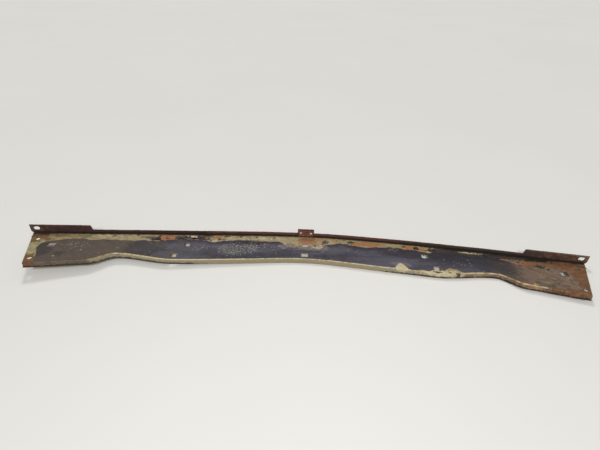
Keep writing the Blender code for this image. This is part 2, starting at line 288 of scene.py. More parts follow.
def along(pairs, x):
    """Value at x between given pairs, all in millimetres."""
    if x <= pairs[0][0]:
        return pairs[0][1]
    for (x0, v0), (x1, v1) in zip(pairs, pairs[1:]):
        if x <= x1:
            return v0 + (v1 - v0) * (x - x0) / (x1 - x0)
    return pairs[-1][1]


def stations(*runs):
    places = [runs[0][0]]
    for start, end, step in runs:
        count = max(1, math.ceil(round((end - start) / step, 6)))
        places += [start + (end - start) * k / count for k in range(1, count + 1)]
    return places


def mirrored(half):
    return [-x for x in reversed(half[1:])] + list(half)


def smooth(value, low, high):
    t = min(1, max(0, (value - low) / (high - low)))
    return t * t * (3 - 2 * t)


# ---------------------------------------------------------------- modelling helpers

def deselect():
    if bpy.context.mode != "OBJECT":
        bpy.ops.object.mode_set(mode="OBJECT")
    bpy.ops.object.select_all(action="DESELECT")


def make_active(thing):
    deselect()
    thing.select_set(True)
    bpy.context.view_layer.objects.active = thing


def named(name):
    """Name the object that an operator has just added."""
    thing = bpy.context.active_object
    thing.name = name
    thing.data.name = name
    return thing


def apply_modifiers(thing):
    make_active(thing)
    for modifier in list(thing.modifiers):
        bpy.ops.object.modifier_apply(modifier=modifier.name)


def placed_grid(name, columns, rows, place):
    """A grid primitive whose corners are moved on to the strip's surface."""
    deselect()
    across, deep = len(columns) - 1, len(rows) - 1
    bpy.ops.mesh.primitive_grid_add(x_subdivisions=across, y_subdivisions=deep, size=1)
    thing = named(name)
    for corner in thing.data.vertices:
        column = round((corner.co.x + 0.5) * across)
        row = round((corner.co.y + 0.5) * deep)
        corner.co = place(columns[column], rows[row])
    return thing


def thicken(thing, thickness, offset=-1):
    wall = thing.modifiers.new("thickness", "SOLIDIFY")
    wall.thickness = thickness
    wall.offset = offset
    wall.use_even_offset = True
    wall.thickness_clamp = 0


def soften(thing, width, segments=1, angle=50):
    edge = thing.modifiers.new("soft edges", "BEVEL")
    edge.width = width
    edge.segments = segments
    edge.limit_method = "ANGLE"
    edge.angle_limit = math.radians(angle)
    edge.use_clamp_overlap = True


def cut(thing, tools):
    """Take the joined tools out of a piece and remove them."""
    deselect()
    for tool in tools:
        tool.select_set(True)
    bpy.context.view_layer.objects.active = tools[0]
    if len(tools) > 1:
        bpy.ops.object.join()
    tool = bpy.context.view_layer.objects.active
    holes = thing.modifiers.new("holes", "BOOLEAN")
    holes.operation = "DIFFERENCE"
    holes.solver = "EXACT"
    holes.object = tool
    apply_modifiers(thing)
    bpy.data.objects.remove(tool)


def square_tool(centre, side, corner=HOLE_CORNER, length=30 * MM):
    """An upright square punch with rounded corners."""
    deselect()
    bpy.ops.mesh.primitive_cube_add(size=1, location=centre)
    tool = bpy.context.active_object
    tool.scale = (side, side, length)
    bpy.ops.object.transform_apply(location=False, rotation=False, scale=True)
    bpy.ops.object.mode_set(mode="EDIT")
    bpy.ops.mesh.select_all(action="DESELECT")
    shape = bmesh.from_edit_mesh(tool.data)
    for edge in shape.edges:
        edge.select = abs(edge.verts[0].co.z - edge.verts[1].co.z) > length / 2
    shape.select_flush_mode()
    bmesh.update_edit_mesh(tool.data)
    bpy.ops.mesh.bevel(offset=corner, segments=4, affect="EDGES")
    bpy.ops.object.mode_set(mode="OBJECT")
    return tool


def round_tool(centre, radius, along_y=False, stretch=0.0, sides=48, length=30 * MM):
    """A round punch, or a slot punch with its halves pulled apart along X."""
    deselect()
    turn = (math.radians(90), 0, 0) if along_y else (0, 0, 0)
    bpy.ops.mesh.primitive_cylinder_add(
        vertices=sides, radius=radius, depth=length, location=centre, rotation=turn)
    tool = bpy.context.active_object
    bpy.ops.object.transform_apply(location=False, rotation=True, scale=True)
    for corner in tool.data.vertices:
        if abs(corner.co.x) > 1e-6:
            corner.co.x += math.copysign(stretch / 2, corner.co.x)
    return tool


def chip_tool(number, x, depth, length, width):
    """A small ragged punch for a place where the facing has broken away."""
    tool = round_tool(surface(x, depth), 1, sides=11, length=6 * MM)
    for corner in tool.data.vertices:
        turn = math.atan2(corner.co.y, corner.co.x)
        reach = 1 + 0.35 * noise.noise(Vector((math.cos(turn) * 1.3, math.sin(turn) * 1.3, number)))
        corner.co.x *= reach * length / 2
        corner.co.y *= reach * width / 2
    return tool


def finish_piece(thing, node_names, paint, angle=32):
    """Put the place into the mesh, smooth it, and hand the piece to the frame."""
    make_active(thing)
    bpy.ops.object.transform_apply(location=True, rotation=True, scale=True)
    bpy.ops.object.shade_smooth_by_angle(angle=math.radians(angle))
    thing.data.materials.clear()
    thing.data.materials.append(paint)
    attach(thing, "root")
    if node_names:
        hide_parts(*node_names)
    return thing


# ---------------------------------------------------------------- wear, painted shade and painted highlights on the corners

PATCH_CORE, PATCH_EDGE = 0.45, 1.25     # where a patch starts to fade and where it ends


def patch_strength(patches, x, depth):
    """Greatest strength at a place of soft-edged oval patches.

    Each patch is its x and depth, half its length and width, and its strength."""
    best = 0.0
    for px, pd, half_length, half_width, strength in patches:
        reach = math.hypot((x - px) / half_length, (depth - pd) / half_width)
        best = max(best, strength * (1 - smooth(reach, PATCH_CORE, PATCH_EDGE)))
    return best


def rim_nearness(x, depth, reach):
    """1 at the rim of a hole, fading to 0 at a distance from it."""
    nearest = 1.0
    for hx, hd, side in SQUARE_HOLES:
        nearest = min(nearest, abs(max(abs(x - hx), abs(depth - hd)) - side / 2))
    for hx, hd in ROUND_HOLES:
        nearest = min(nearest, abs(math.hypot(x - hx, depth - hd) - ROUND_HOLE_RADIUS))
    return max(0, 1 - nearest / reach)


def write_zones(thing, **zones):
    """Store each zone, a function of x, depth and height, as an attribute of the mesh."""
    places = [place_of(corner.co) for corner in thing.data.vertices]
    for name, zone in zones.items():
        attribute = thing.data.attributes.new(name, "FLOAT", "POINT")
        attribute.data.foreach_set("value", [float(zone(*place)) for place in places])


# Patches on the panel, in millimetres, as patch_strength() takes them
RUST_PATCHES = (
    (-582, 22, 26, 24, 0.95), (-562, 104, 30, 20, 0.95), (-600, 45, 12, 40, 0.6),
    (-576, 116, 14, 8, 0.7), (-560, 30, 20, 10, 0.6), (-545, 14, 22, 9, 0.45),
    (-313, 17, 22, 16, 1.0), (-288, 24, 14, 8, 0.8), (-228, 22, 12, 8, 0.8),
    (-205, 14, 22, 10, 0.55), (-186, 22, 12, 6, 0.6), (-150, 16, 24, 8, 0.35),
    (4, 22, 26, 14, 0.85), (30, 14, 26, 8, 0.55), (-30, 22, 18, 8, 0.4),
    (138, 17, 30, 12, 1.0), (112, 22, 14, 8, 0.7), (168, 14, 16, 8, 0.7),
    (80, 14, 30, 8, 0.4), (248, 18, 30, 8, 1.0), (228, 14, 18, 8, 0.8), (290, 18, 30, 6, 0.6),
    (430, 26, 30, 10, 0.7), (470, 34, 34, 14, 0.75), (452, 18, 40, 8, 0.5), (520, 24, 40, 12, 0.8),
    (580, 30, 40, 40, 1.0), (572, 104, 34, 26, 0.9), (590, 70, 30, 60, 1.0),
    (535, 90, 30, 20, 0.25), (520, 112, 50, 10, 0.8), (556, 20, 40, 20, 0.9),
    (575, 66, 24, 40, 1.0), (500, 60, 20, 20, 0.3), (420, 16, 50, 8, 0.35),
)
GRIME_PATCHES = (
    (-486, 20, 4, 3, 0.95), (-428, 10, 5, 3.5, 1.0), (-378, 8, 5, 3, 0.85), (-366, 14, 7, 3, 0.8),
    (-340, 19, 13, 8, 1.2), (-326, 26, 9, 4, 1.0), (-284, 14, 14, 8, 1.2), (-262, 19, 20, 9, 1.2),
    (-240, 14, 18, 8, 1.2), (-232, 22, 12, 4, 1.0), (-150, 8, 14, 3, 0.6), (-128, 13, 8, 5, 0.7),
    (46, 22, 8, 9, 0.8), (-190, 24, 10, 5, 0.6),
    (-268, 22, 8, 5, 0.8), (-224, 10, 22, 5, 0.8), (60, 34, 14, 4, 0.7), (78, 26, 12, 5, 0.7),
    (150, 30, 14, 3, 0.6), (188, 24, 12, 3, 0.8), (208, 22, 14, 4, 0.8), (262, 26, 12, 3, 0.8),
    (300, 22, 20, 4, 0.8), (276, 99, 12, 3, 0.9), (300, 96, 6, 3, 0.8), (318, 97, 7, 3, 0.8),
    (40, 30, 6, 10, 0.6), (22, 40, 6, 8, 0.7), (100, 22, 8, 5, 0.6), (400, 10, 60, 6, 0.5),
    (440, 12, 60, 10, 0.8), (500, 10, 50, 8, 0.7), (506, 84, 26, 16, 0.25),
    (-590, 6, 30, 5, 0.8),
    (330, 5, 60, 4, 1.0), (302, 20, 34, 6, 1.3), (342, 21, 34, 5, 1.3), (382, 21, 36, 6, 1.4),
    (416, 14, 34, 7, 1.3), (446, 8, 34, 6, 1.2), (-352, 16, 12, 5, 1.1), (-126, 27, 32, 5, 1.2),
    (502, 34, 15, 6, 0.8), (517, 41, 10, 4, 0.75), (300, 14, 26, 4, 0.9), (326, 15, 22, 5, 1.0),
)
# Paler primer; the first patch, at x 368 mm close to the rail, is a painted sheen.
PALE_AND_SHEEN_PATCHES = (
    (368, 11, 28, 3.5, 0.85), (-50, 40, 10, 12, 0.5), (28, 44, 14, 10, 0.6),
    (203, 88, 24, 18, 0.7), (286, 98, 56, 14, 0.6), (-120, 14, 80, 8, 0.35),
    (-450, 12, 90, 10, 0.2),
)
RESIDUE_PATCHES = (
    (505, 52, 34, 34, 1.0), (525, 72, 36, 26, 1.0), (490, 76, 24, 24, 1.0), (552, 50, 34, 26, 0.95),
    (-38, 42, 16, 14, 1.0), (32, 46, 24, 12, 1.2), (0, 50, 56, 9, 1.2), (14, 36, 20, 6, 0.5),
    (540, 98, 38, 18, 0.85),
)


def panel_zones(thing):
    def metal(x, depth):
        return depth < crease_depth(x) - 1 * MM

    def rust(x, depth, height):
        value = patch_strength(RUST_PATCHES, x / MM, depth / MM)
        if not metal(x, depth):
            value = max(value, smooth(x, 0.22, 0.5) * 0.36, smooth(-x, 0.545, 0.57) * 0.45)
        return max(value, 0.5 * rim_nearness(x, depth, 3 * MM) * (abs(x) > 0.5))

    def grime(x, depth, height):
        value = patch_strength(GRIME_PATCHES, x / MM, depth / MM)
        if metal(x, depth):
            # Painted shade along the rail's base: black within 2.4 mm of the panel's rear edge,
            # gone by 5.2 mm.
            return max(value, 1.5 * (1 - smooth(depth, 2.4 * MM, 5.2 * MM)))
        # Painted shade at the lip's foot, over its lowest part from 6.5 to 9.5 mm down, weaker in
        # the middle and stronger towards the ends.
        ends = 0.15 + 0.65 * smooth(abs(x + 0.02), 0.16, 0.24)
        return max(value, ends * smooth(-height, 6.5 * MM, 9.5 * MM))

    def stain(x, depth, height):
        if metal(x, depth):
            right = 1.4 * smooth(x, 0.43, 0.5)
        else:
            right = 0.58 * smooth(x, 0.22, 0.3) + 0.4 * smooth(x, 0.46, 0.54)
        right = max(right, 0.85 * smooth(x, 0.27, 0.33) * (1 - smooth(depth, 26 * MM, 34 * MM)))
        near_lip = smooth(depth - crease_depth(x), -6 * MM, -2 * MM)
        left = 1.4 * (1 - smooth(x, -0.46, -0.43)) * near_lip
        return max(right, left, 0.35 * (1 - smooth(x, -0.43, -0.3)) * near_lip)

    def wall(x, depth, height):
        # Painted shade on the lip's wall, from 1.3 mm below its top downwards.
        return smooth(-height, 1.3 * MM, 3 * MM)

    def tan(x, depth, height):
        near_lip = smooth(depth - crease_depth(x), -2 * MM, 0)
        return near_lip * (0.1 + 0.6 * smooth(x, 0.24, 0.36))

    def fresh(x, depth, height):
        return 1 - smooth(abs(x), 0.44, 0.5)

    def pale(x, depth, height):
        value = patch_strength(PALE_AND_SHEEN_PATCHES, x / MM, depth / MM)
        # Painted highlight along the top of the crease, down to 2.2 mm on the lip, with a painted
        # glint within about 5 cm of x = -0.24 m.
        nearness = 1 - min(1, abs(depth - crease_depth(x) + 0.6 * MM) / (2.2 * MM))
        glint = 0.62 + 0.45 * (1 - smooth(abs(x + 0.24), 0.05, 0.13))
        bright = glint * smooth(x, -0.44, -0.4) * (1 - 0.9 * smooth(x, 0.5, 0.55))
        return max(value, nearness * bright if height > -2.2 * MM else 0)

    def residue(x, depth, height):
        return patch_strength(RESIDUE_PATCHES, x / MM, depth / MM) if metal(x, depth) else 0

    write_zones(thing, rust=rust, grime=grime, stain=stain, tan=tan, fresh=fresh, pale=pale,
                residue=residue, wall=wall)


def facing_zones(thing):
    def brown(x, depth, height):
        left = 1 - smooth(x, -0.46, -0.2)
        right = smooth(x, 0.36, 0.45) * smooth(depth, 0.02, 0.05)
        return min(1, left + right)

    def dark(x, depth, height):
        patches = (
            (-548, 70, 22, 30, 0.9), (-505, 84, 20, 10, 0.7), (-560, 60, 10, 30, 1.0),
            (230, 46, 60, 26, 0.8), (330, 40, 90, 26, 1.0), (400, 54, 60, 34, 0.9),
            (150, 42, 60, 16, 0.5), (-345, 60, 46, 40, 0.75), (-126, 36, 44, 9, 1.2),
            (330, 30, 70, 9, 1.3), (400, 28, 50, 10, 1.3),
        )
        return patch_strength(patches, x / MM, depth / MM)

    def violet(x, depth, height):
        rear = along(FACING_REAR, x / MM) * MM
        return 1 - smooth(depth - rear, 3 * MM, 17 * MM)

    def fleck(x, depth, height):
        patches = (
            (-152, 62, 26, 26, 1.0), (-122, 58, 22, 22, 1.0), (-176, 62, 20, 18, 0.9),
            (-95, 46, 20, 14, 0.35), (-228, 58, 22, 7, 0.6), (-490, 50, 36, 16, 0.3),
            (-60, 50, 22, 10, 0.35), (196, 31, 10, 6, 0.9), (460, 66, 24, 20, 0.12),
            (110, 46, 24, 10, 0.25), (340, 60, 40, 10, 0.15),
        )
        return patch_strength(patches, x / MM, depth / MM)

    def film(x, depth, height):
        patches = ((-47, 45, 13, 11, 1.1), (41, 46, 12, 12, 1.1), (0, 56, 46, 5, 0.8),
                   (204, 84, 24, 9, 0.85))
        return patch_strength(patches, x / MM, depth / MM)

    def tawny(x, depth, height):
        return smooth(x, 0.41, 0.475) * smooth(depth, 0.02, 0.04)

    write_zones(thing, brown=brown, dark=dark, violet=violet, fleck=fleck, tawny=tawny,
                film=film)


def rail_zones(thing):
    def red(x, depth, height):
        return 1 - smooth(abs(x - 0.02), 0.12, 0.34)

    def dark(x, depth, height):
        return smooth(x, 0.12, 0.34)

    def worn(x, depth, height):
        # Rubbed paint and a painted highlight along the flange's top edge, stronger towards the
        # right.
        top = rail_top(x)
        near = 1 - min(1, abs(height - top) / (1.6 * MM))
        return near * (0.55 + 0.45 * smooth(x, 0.1, 0.3))

    def rust(x, depth, height):
        ends = 0.55 * smooth(x, 0.47, 0.52) + 0.4 * smooth(-x, 0.5, 0.58)
        return max(ends, 0.35 * red(x, depth, height))

    def foot(x, depth, height):
        # Painted shade along the foot of the flange, within 1.6 to 5 mm of its bottom.
        return 1 - smooth(height, 1.6 * MM, 5 * MM)

    write_zones(thing, red=red, dark=dark, worn=worn, rust=rust, foot=foot)


# ---------------------------------------------------------------- shader building

def linear(colour):
    """Scene-linear colour from one given as 0 to 255."""
    values = [channel / 255 for channel in colour]
    return tuple(v / 12.92 if v <= 0.04045 else ((v + 0.055) / 1.055) ** 2.4 for v in values)


def add_node(tree, kind, inputs=None, **settings):
    made = tree.nodes.new(kind)
    for key, value in settings.items():
        setattr(made, key, value)
    for key, value in (inputs or {}).items():
        socket = made.inputs[key]
        if isinstance(value, bpy.types.NodeSocket):
            tree.links.new(value, socket)
        else:
            socket.default_value = value
    return made


def blend_colour(tree, factor, first, second, mode="MIX"):
    mix = tree.nodes.new("ShaderNodeMix")
    mix.data_type = "RGBA"
    mix.blend_type = mode
    for socket, value in ((mix.inputs[0], factor), (mix.inputs[6], first), (mix.inputs[7], second)):
        if isinstance(value, bpy.types.NodeSocket):
            tree.links.new(value, socket)
        elif isinstance(value, (int, float)):
            socket.default_value = value
        else:
            socket.default_value = (*value, 1)
    return mix.outputs[2]


def calculate(tree, operation, first, second=0.5, clamp=False):
    math_node = tree.nodes.new("ShaderNodeMath")
    math_node.operation = operation
    math_node.use_clamp = clamp
    for socket, value in zip(math_node.inputs, (first, second)):
        if isinstance(value, bpy.types.NodeSocket):
            tree.links.new(value, socket)
        else:
            socket.default_value = value
    return math_node.outputs[0]


def remap(tree, value, low, high, to_low=0.0, to_high=1.0):
    node = add_node(tree, "ShaderNodeMapRange", {
        "Value": value, "From Min": low, "From Max": high, "To Min": to_low, "To Max": to_high})
    node.interpolation_type = "SMOOTHSTEP"
    return node.outputs[0]


def attribute(tree, name):
    return add_node(tree, "ShaderNodeAttribute", attribute_name=name).outputs["Fac"]


def noise_value(tree, vector, scale, detail=4.0, roughness=0.6, distortion=0.0):
    return add_node(tree, "ShaderNodeTexNoise", {
        "Vector": vector, "Scale": scale, "Detail": detail, "Roughness": roughness,
        "Distortion": distortion}).outputs["Fac"]


def stretched(tree, vector, scale):
    return add_node(tree, "ShaderNodeMapping", {"Vector": vector, "Scale": scale}).outputs[0]


def new_group(name, inputs, outputs):
    """An empty shader node group with its sockets, its input node and its output node."""
    group = bpy.data.node_groups.new(name, "ShaderNodeTree")
    for label, kind, default in inputs:
        socket = group.interface.new_socket(name=label, in_out="INPUT", socket_type=kind)
        if default is not None:
            socket.default_value = default
    for label, kind in outputs:
        group.interface.new_socket(name=label, in_out="OUTPUT", socket_type=kind)
    return group, group.nodes.new("NodeGroupInput"), group.nodes.new("NodeGroupOutput")


def patchy_mask_group():
    """Turns a painted zone into patches with broken edges."""
    group, given, result = new_group(
        "Patchy Mask",
        [("Vector", "NodeSocketVector", None), ("Zone", "NodeSocketFloat", 0.0),
         ("Scale", "NodeSocketFloat", 120.0), ("Spread", "NodeSocketFloat", 0.5),
         ("Softness", "NodeSocketFloat", 0.06)],
        [("Mask", "NodeSocketFloat")])
    large = noise_value(group, given.outputs["Vector"], given.outputs["Scale"], 6, 0.68, 0.4)
    centred = calculate(group, "SUBTRACT", large, 0.5)
    ragged = calculate(group, "MULTIPLY", centred, 2.6)
    level = calculate(group, "ADD", given.outputs["Zone"], ragged)
    gate = calculate(group, "MULTIPLY", given.outputs["Zone"], 8.0, clamp=True)
    low = calculate(group, "SUBTRACT", given.outputs["Spread"], given.outputs["Softness"])
    high = calculate(group, "ADD", given.outputs["Spread"], given.outputs["Softness"])
    mask = remap(group, level, low, high)
    group.links.new(calculate(group, "MULTIPLY", mask, gate), result.inputs["Mask"])
    return group


def rust_group():
    """Colour and height of rust: dark scale, brown and orange bloom."""
    group, given, result = new_group(
        "Rust",
        [("Vector", "NodeSocketVector", None), ("Scale", "NodeSocketFloat", 90.0),
         ("Dark", "NodeSocketColor", (0.03, 0.012, 0.007, 1)),
         ("Middle", "NodeSocketColor", (0.16, 0.055, 0.02, 1)),
         ("Bloom", "NodeSocketColor", (0.42, 0.16, 0.055, 1))],
        [("Color", "NodeSocketColor"), ("Height", "NodeSocketFloat")])
    coarse = noise_value(group, given.outputs["Vector"], given.outputs["Scale"], 5, 0.65, 0.6)
    fine_scale = calculate(group, "MULTIPLY", given.outputs["Scale"], 6.0)
    fine = noise_value(group, given.outputs["Vector"], fine_scale, 3, 0.7)
    first = blend_colour(group, remap(group, coarse, 0.26, 0.5),
                         given.outputs["Dark"], given.outputs["Middle"])
    bloom = remap(group, calculate(group, "ADD", coarse, calculate(group, "MULTIPLY", fine, 0.35)),
                  0.64, 0.86)
    second = blend_colour(group, bloom, first, given.outputs["Bloom"])
    group.links.new(second, result.inputs["Color"])
    group.links.new(calculate(group, "ADD", coarse, fine), result.inputs["Height"])
    return group


def grain_group():
    """Fine scratches along the strip and a fine dirt grain."""
    group, given, result = new_group(
        "Scratched Grain",
        [("Vector", "NodeSocketVector", None), ("Scale", "NodeSocketFloat", 60.0)],
        [("Scratches", "NodeSocketFloat"), ("Dirt", "NodeSocketFloat"),
         ("Height", "NodeSocketFloat")])
    drawn = stretched(group, given.outputs["Vector"], (0.12, 1.0, 1.0))
    double = calculate(group, "MULTIPLY", given.outputs["Scale"], 14.0)
    lines = noise_value(group, drawn, double, 3, 0.6)
    dirt_scale = calculate(group, "MULTIPLY", given.outputs["Scale"], 1.7)
    dirt = noise_value(group, given.outputs["Vector"], dirt_scale, 7, 0.72, 0.3)
    group.links.new(remap(group, lines, 0.56, 0.74), result.inputs["Scratches"])
    group.links.new(remap(group, dirt, 0.34, 0.68), result.inputs["Dirt"])
    group.links.new(calculate(group, "ADD", lines, dirt), result.inputs["Height"])
    return group


def fleck_group():
    """Small broken specks inside a painted zone, as where a coating has been knocked off."""
    group, given, result = new_group(
        "Flecks",
        [("Vector", "NodeSocketVector", None), ("Zone", "NodeSocketFloat", 0.0),
         ("Scale", "NodeSocketFloat", 220.0)],
        [("Mask", "NodeSocketFloat")])
    cells = add_node(group, "ShaderNodeTexVoronoi", {
        "Vector": given.outputs["Vector"], "Scale": given.outputs["Scale"], "Randomness": 1.0})
    broken = noise_value(group, given.outputs["Vector"], given.outputs["Scale"], 3, 0.7)
    chosen = add_node(group, "ShaderNodeSeparateColor", {"Color": cells.outputs["Color"]})
    slower = calculate(group, "MULTIPLY", given.outputs["Scale"], 0.14)
    clumps = calculate(group, "SUBTRACT",
                       noise_value(group, given.outputs["Vector"], slower, 3, 0.6), 0.5)
    share = calculate(group, "ADD", calculate(group, "MULTIPLY", clumps, 1.5), 0.8)
    level = calculate(group, "ADD", chosen.outputs["Red"],
                      calculate(group, "MULTIPLY", given.outputs["Zone"], share))
    kept = remap(group, level, 1.02, 1.08)
    distance = calculate(group, "ADD", cells.outputs["Distance"],
                         calculate(group, "MULTIPLY", broken, 0.3))
    spot = remap(group, distance, 0.62, 0.45)
    group.links.new(calculate(group, "MULTIPLY", kept, spot), result.inputs["Mask"])
    return group


def use_group(tree, group, inputs):
    made = add_node(tree, "ShaderNodeGroup", node_tree=group)
    for key, value in inputs.items():
        if isinstance(value, bpy.types.NodeSocket):
            tree.links.new(value, made.inputs[key])
        elif isinstance(value, (int, float)):
            made.inputs[key].default_value = value
        else:
            made.inputs[key].default_value = (*value, 1)
    return made.outputs


def start_material(name):
    paint = bpy.data.materials.new(name)
    paint.use_nodes = True
    tree = paint.node_tree
    shader = tree.nodes["Principled BSDF"]
    place = add_node(tree, "ShaderNodeTexCoord").outputs["Object"]
    return paint, tree, shader, place


def finish_material(tree, shader, colour, roughness, height, strength=0.4, distance=0.0004):
    tree.links.new(colour, shader.inputs["Base Color"])
    tree.links.new(roughness, shader.inputs["Roughness"])
    bump = add_node(tree, "ShaderNodeBump", {
        "Height": height, "Strength": strength, "Distance": distance})
    tree.links.new(bump.outputs[0], shader.inputs["Normal"])


GROUPS = {}


def build_groups():
    GROUPS["patchy"] = patchy_mask_group()
    GROUPS["rust"] = rust_group()
    GROUPS["grain"] = grain_group()
    GROUPS["fleck"] = fleck_group()


def tint(tree, colour, factor, amount, other):
    """Lay another colour over the first, by a factor times an amount."""
    return blend_colour(tree, calculate(tree, "MULTIPLY", factor, amount), colour, other)


def zone_mask(tree, place, zone, scale, softness, spread=0.5):
    """Ragged mask of a zone that is painted on the corners."""
    return use_group(tree, GROUPS["patchy"], {
        "Vector": place, "Zone": attribute(tree, zone), "Scale": scale, "Spread": spread,
        "Softness": softness})["Mask"]


def grain_of(tree, place, scale):
    return use_group(tree, GROUPS["grain"], {"Vector": place, "Scale": scale})


def rust_of(tree, place, scale, dark, middle, bloom):
    return use_group(tree, GROUPS["rust"], {
        "Vector": place, "Scale": scale, "Dark": dark, "Middle": middle, "Bloom": bloom})


def flecks_of(tree, place, scale, zone):
    return use_group(tree, GROUPS["fleck"], {
        "Vector": place, "Zone": zone, "Scale": scale})["Mask"]


def panel_paint(finish):
    """Old cream primer, rusted through in places and dirty, with remains of adhesive; with a
    painted highlight along the crease, a painted sheen by the rail, and painted shade on the lip's
    wall, at the lip's foot and along the rail's base.
    """
    paint, tree, shader, place = start_material("cream_primer_worn")
    grain = grain_of(tree, place, 55)
    cloud = remap(tree, noise_value(tree, place, 14, 4), 0.35, 0.65)
    colour = blend_colour(tree, grain["Dirt"], finish.primer_dirty, finish.primer)
    colour = tint(tree, colour, cloud, 0.4, finish.primer_tan)
    # Painted shade on the lip's wall, in a darker olive.
    colour = tint(tree, colour, attribute(tree, "wall"), 0.88, finish.primer_olive_and_shade)
    colour = tint(tree, colour, attribute(tree, "tan"), 0.8, finish.primer_tan)
    stain = blend_colour(tree, grain["Dirt"], finish.stain_dark, finish.stain)
    colour = tint(tree, colour, zone_mask(tree, place, "stain", 40, 0.3), 0.92, stain)
    adhesive = blend_colour(tree, grain["Dirt"], finish.residue_dark, finish.residue)
    colour = blend_colour(tree, zone_mask(tree, place, "residue", 60, 0.25), colour, adhesive)
    # Paler patches of primer, with a painted highlight along the crease and a painted sheen by the
    # rail.
    pale = zone_mask(tree, place, "pale", 150, 0.25, spread=0.45)
    colour = tint(tree, colour, pale, 0.75, finish.bright_primer_and_highlight)
    rusty = rust_of(tree, place, 95, finish.rust_dark, finish.rust_brown, finish.rust_brown_light)
    pinprick_zone = calculate(tree, "ADD", attribute(tree, "rust"), 0.18)
    rust_mask = calculate(tree, "MAXIMUM", zone_mask(tree, place, "rust", 90, 0.26),
                          flecks_of(tree, place, 420, pinprick_zone))
    bloom = tint(tree, rusty["Color"], attribute(tree, "fresh"), 0.62, finish.rust_orange)
    colour = tint(tree, colour, rust_mask, 0.93, bloom)
    # Black dirt patches, together with painted shade along the rail's base and at the lip's foot.
    grime = zone_mask(tree, place, "grime", 170, 0.08)
    colour = tint(tree, colour, grime, 0.9, finish.grime)
    colour = tint(tree, colour, grain["Scratches"], 0.22, finish.primer_dirty)
    rough = remap(tree, rust_mask, 0, 1, 0.48, 0.88)
    height = calculate(tree, "ADD", calculate(tree, "MULTIPLY", rusty["Height"], rust_mask),
                       calculate(tree, "MULTIPLY", grain["Height"], 0.35))
    height = calculate(tree, "SUBTRACT", height, calculate(tree, "MULTIPLY", grime, 0.3))
    finish_material(tree, shader, colour, rough, height, 0.5, 0.0003)
    return paint


def facing_paint(finish):
    """Blue-black bonded facing, scuffed along its length, dusted brown and chipped."""
    paint, tree, shader, place = start_material("facing_scuffed")
    grain = grain_of(tree, place, 48)
    broad = remap(tree, noise_value(tree, stretched(tree, place, (0.3, 1, 1)), 26, 5), 0.35, 0.68)
    colour = blend_colour(tree, broad, finish.facing_dark, finish.facing_blue)
    colour = tint(tree, colour, attribute(tree, "violet"), 0.85, finish.facing_violet)
    earth = blend_colour(tree, grain["Dirt"], finish.facing_brown_dark, finish.facing_brown)
    colour = tint(tree, colour, zone_mask(tree, place, "brown", 45, 0.45), 0.9, earth)
    tawny = zone_mask(tree, place, "tawny", 60, 0.4)
    colour = tint(tree, colour, tawny, 0.7, finish.facing_tawny)
    film = zone_mask(tree, place, "film", 110, 0.35)
    colour = tint(tree, colour, film, 0.5, finish.facing_film)
    colour = tint(tree, colour, grain["Scratches"], 0.25, finish.facing_scuff)
    darker = zone_mask(tree, place, "dark", 30, 0.5)
    colour = tint(tree, colour, darker, 0.6, finish.facing_black)
    blotch = remap(tree, noise_value(tree, place, 60, 6, 0.7), 0.58, 0.75)
    colour = tint(tree, colour, blotch, 0.4, finish.facing_dark)
    chips = flecks_of(tree, place, 500, attribute(tree, "fleck"))
    dust = flecks_of(tree, place, 190, 0.06)
    specks = calculate(tree, "MAXIMUM", chips, calculate(tree, "MULTIPLY", dust, 0.55))
    colour = tint(tree, colour, specks, 0.85, finish.chip)
    rough = remap(tree, grain["Dirt"], 0, 1, 0.56, 0.76)
    shader.inputs["Specular IOR Level"].default_value = 0.35
    height = calculate(tree, "SUBTRACT", calculate(tree, "MULTIPLY", grain["Height"], 0.5), specks)
    finish_material(tree, shader, colour, rough, height, 0.4, 0.00025)
    return paint


def scrap_paint(finish):
    """Torn islands of facing, blacker than the rest and tinted maroon."""
    paint, tree, shader, place = start_material("facing_scrap_black")
    grain = grain_of(tree, place, 110)
    maroon = remap(tree, noise_value(tree, place, 95, 4), 0.5, 0.66)
    colour = blend_colour(tree, maroon, finish.grime, finish.scrap_maroon)
    colour = tint(tree, colour, grain["Scratches"], 0.15, finish.facing_scuff)
    rough = remap(tree, grain["Dirt"], 0, 1, 0.55, 0.8)
    finish_material(tree, shader, colour, rough, grain["Height"], 0.5, 0.0003)
    return paint


def rail_paint(finish):
    """Dark maroon paint on the rail, rubbed through at the top edge, with a painted highlight along
    that edge and painted shade along its foot.
    """
    paint, tree, shader, place = start_material("rail_maroon_worn")
    grain = grain_of(tree, place, 60)
    colour = blend_colour(tree, grain["Dirt"], finish.rail_shadow, finish.rail_maroon)
    colour = tint(tree, colour, zone_mask(tree, place, "red", 50, 0.4), 0.85, finish.rail_red)
    colour = tint(tree, colour, zone_mask(tree, place, "dark", 40, 0.4), 0.85, finish.rail_grey)
    rusty = rust_of(tree, place, 120, finish.rust_dark, finish.rust_brown, finish.rust_brown_light)
    rust = zone_mask(tree, place, "rust", 110, 0.15, spread=0.6)
    colour = tint(tree, colour, rust, 0.8, rusty["Color"])
    # Rubbed paint and painted highlight along the top edge.
    worn = zone_mask(tree, place, "worn", 200, 0.12, spread=0.55)
    colour = tint(tree, colour, worn, 0.7, finish.rail_worn)
    # Painted shade along the flange's foot.
    colour = tint(tree, colour, attribute(tree, "foot"), 0.95, finish.grime)
    rough = remap(tree, grain["Dirt"], 0, 1, 0.5, 0.75)
    height = calculate(tree, "ADD", grain["Height"],
                       calculate(tree, "MULTIPLY", rusty["Height"], rust))
    finish_material(tree, shader, colour, rough, height, 0.45, 0.0003)
    return paint


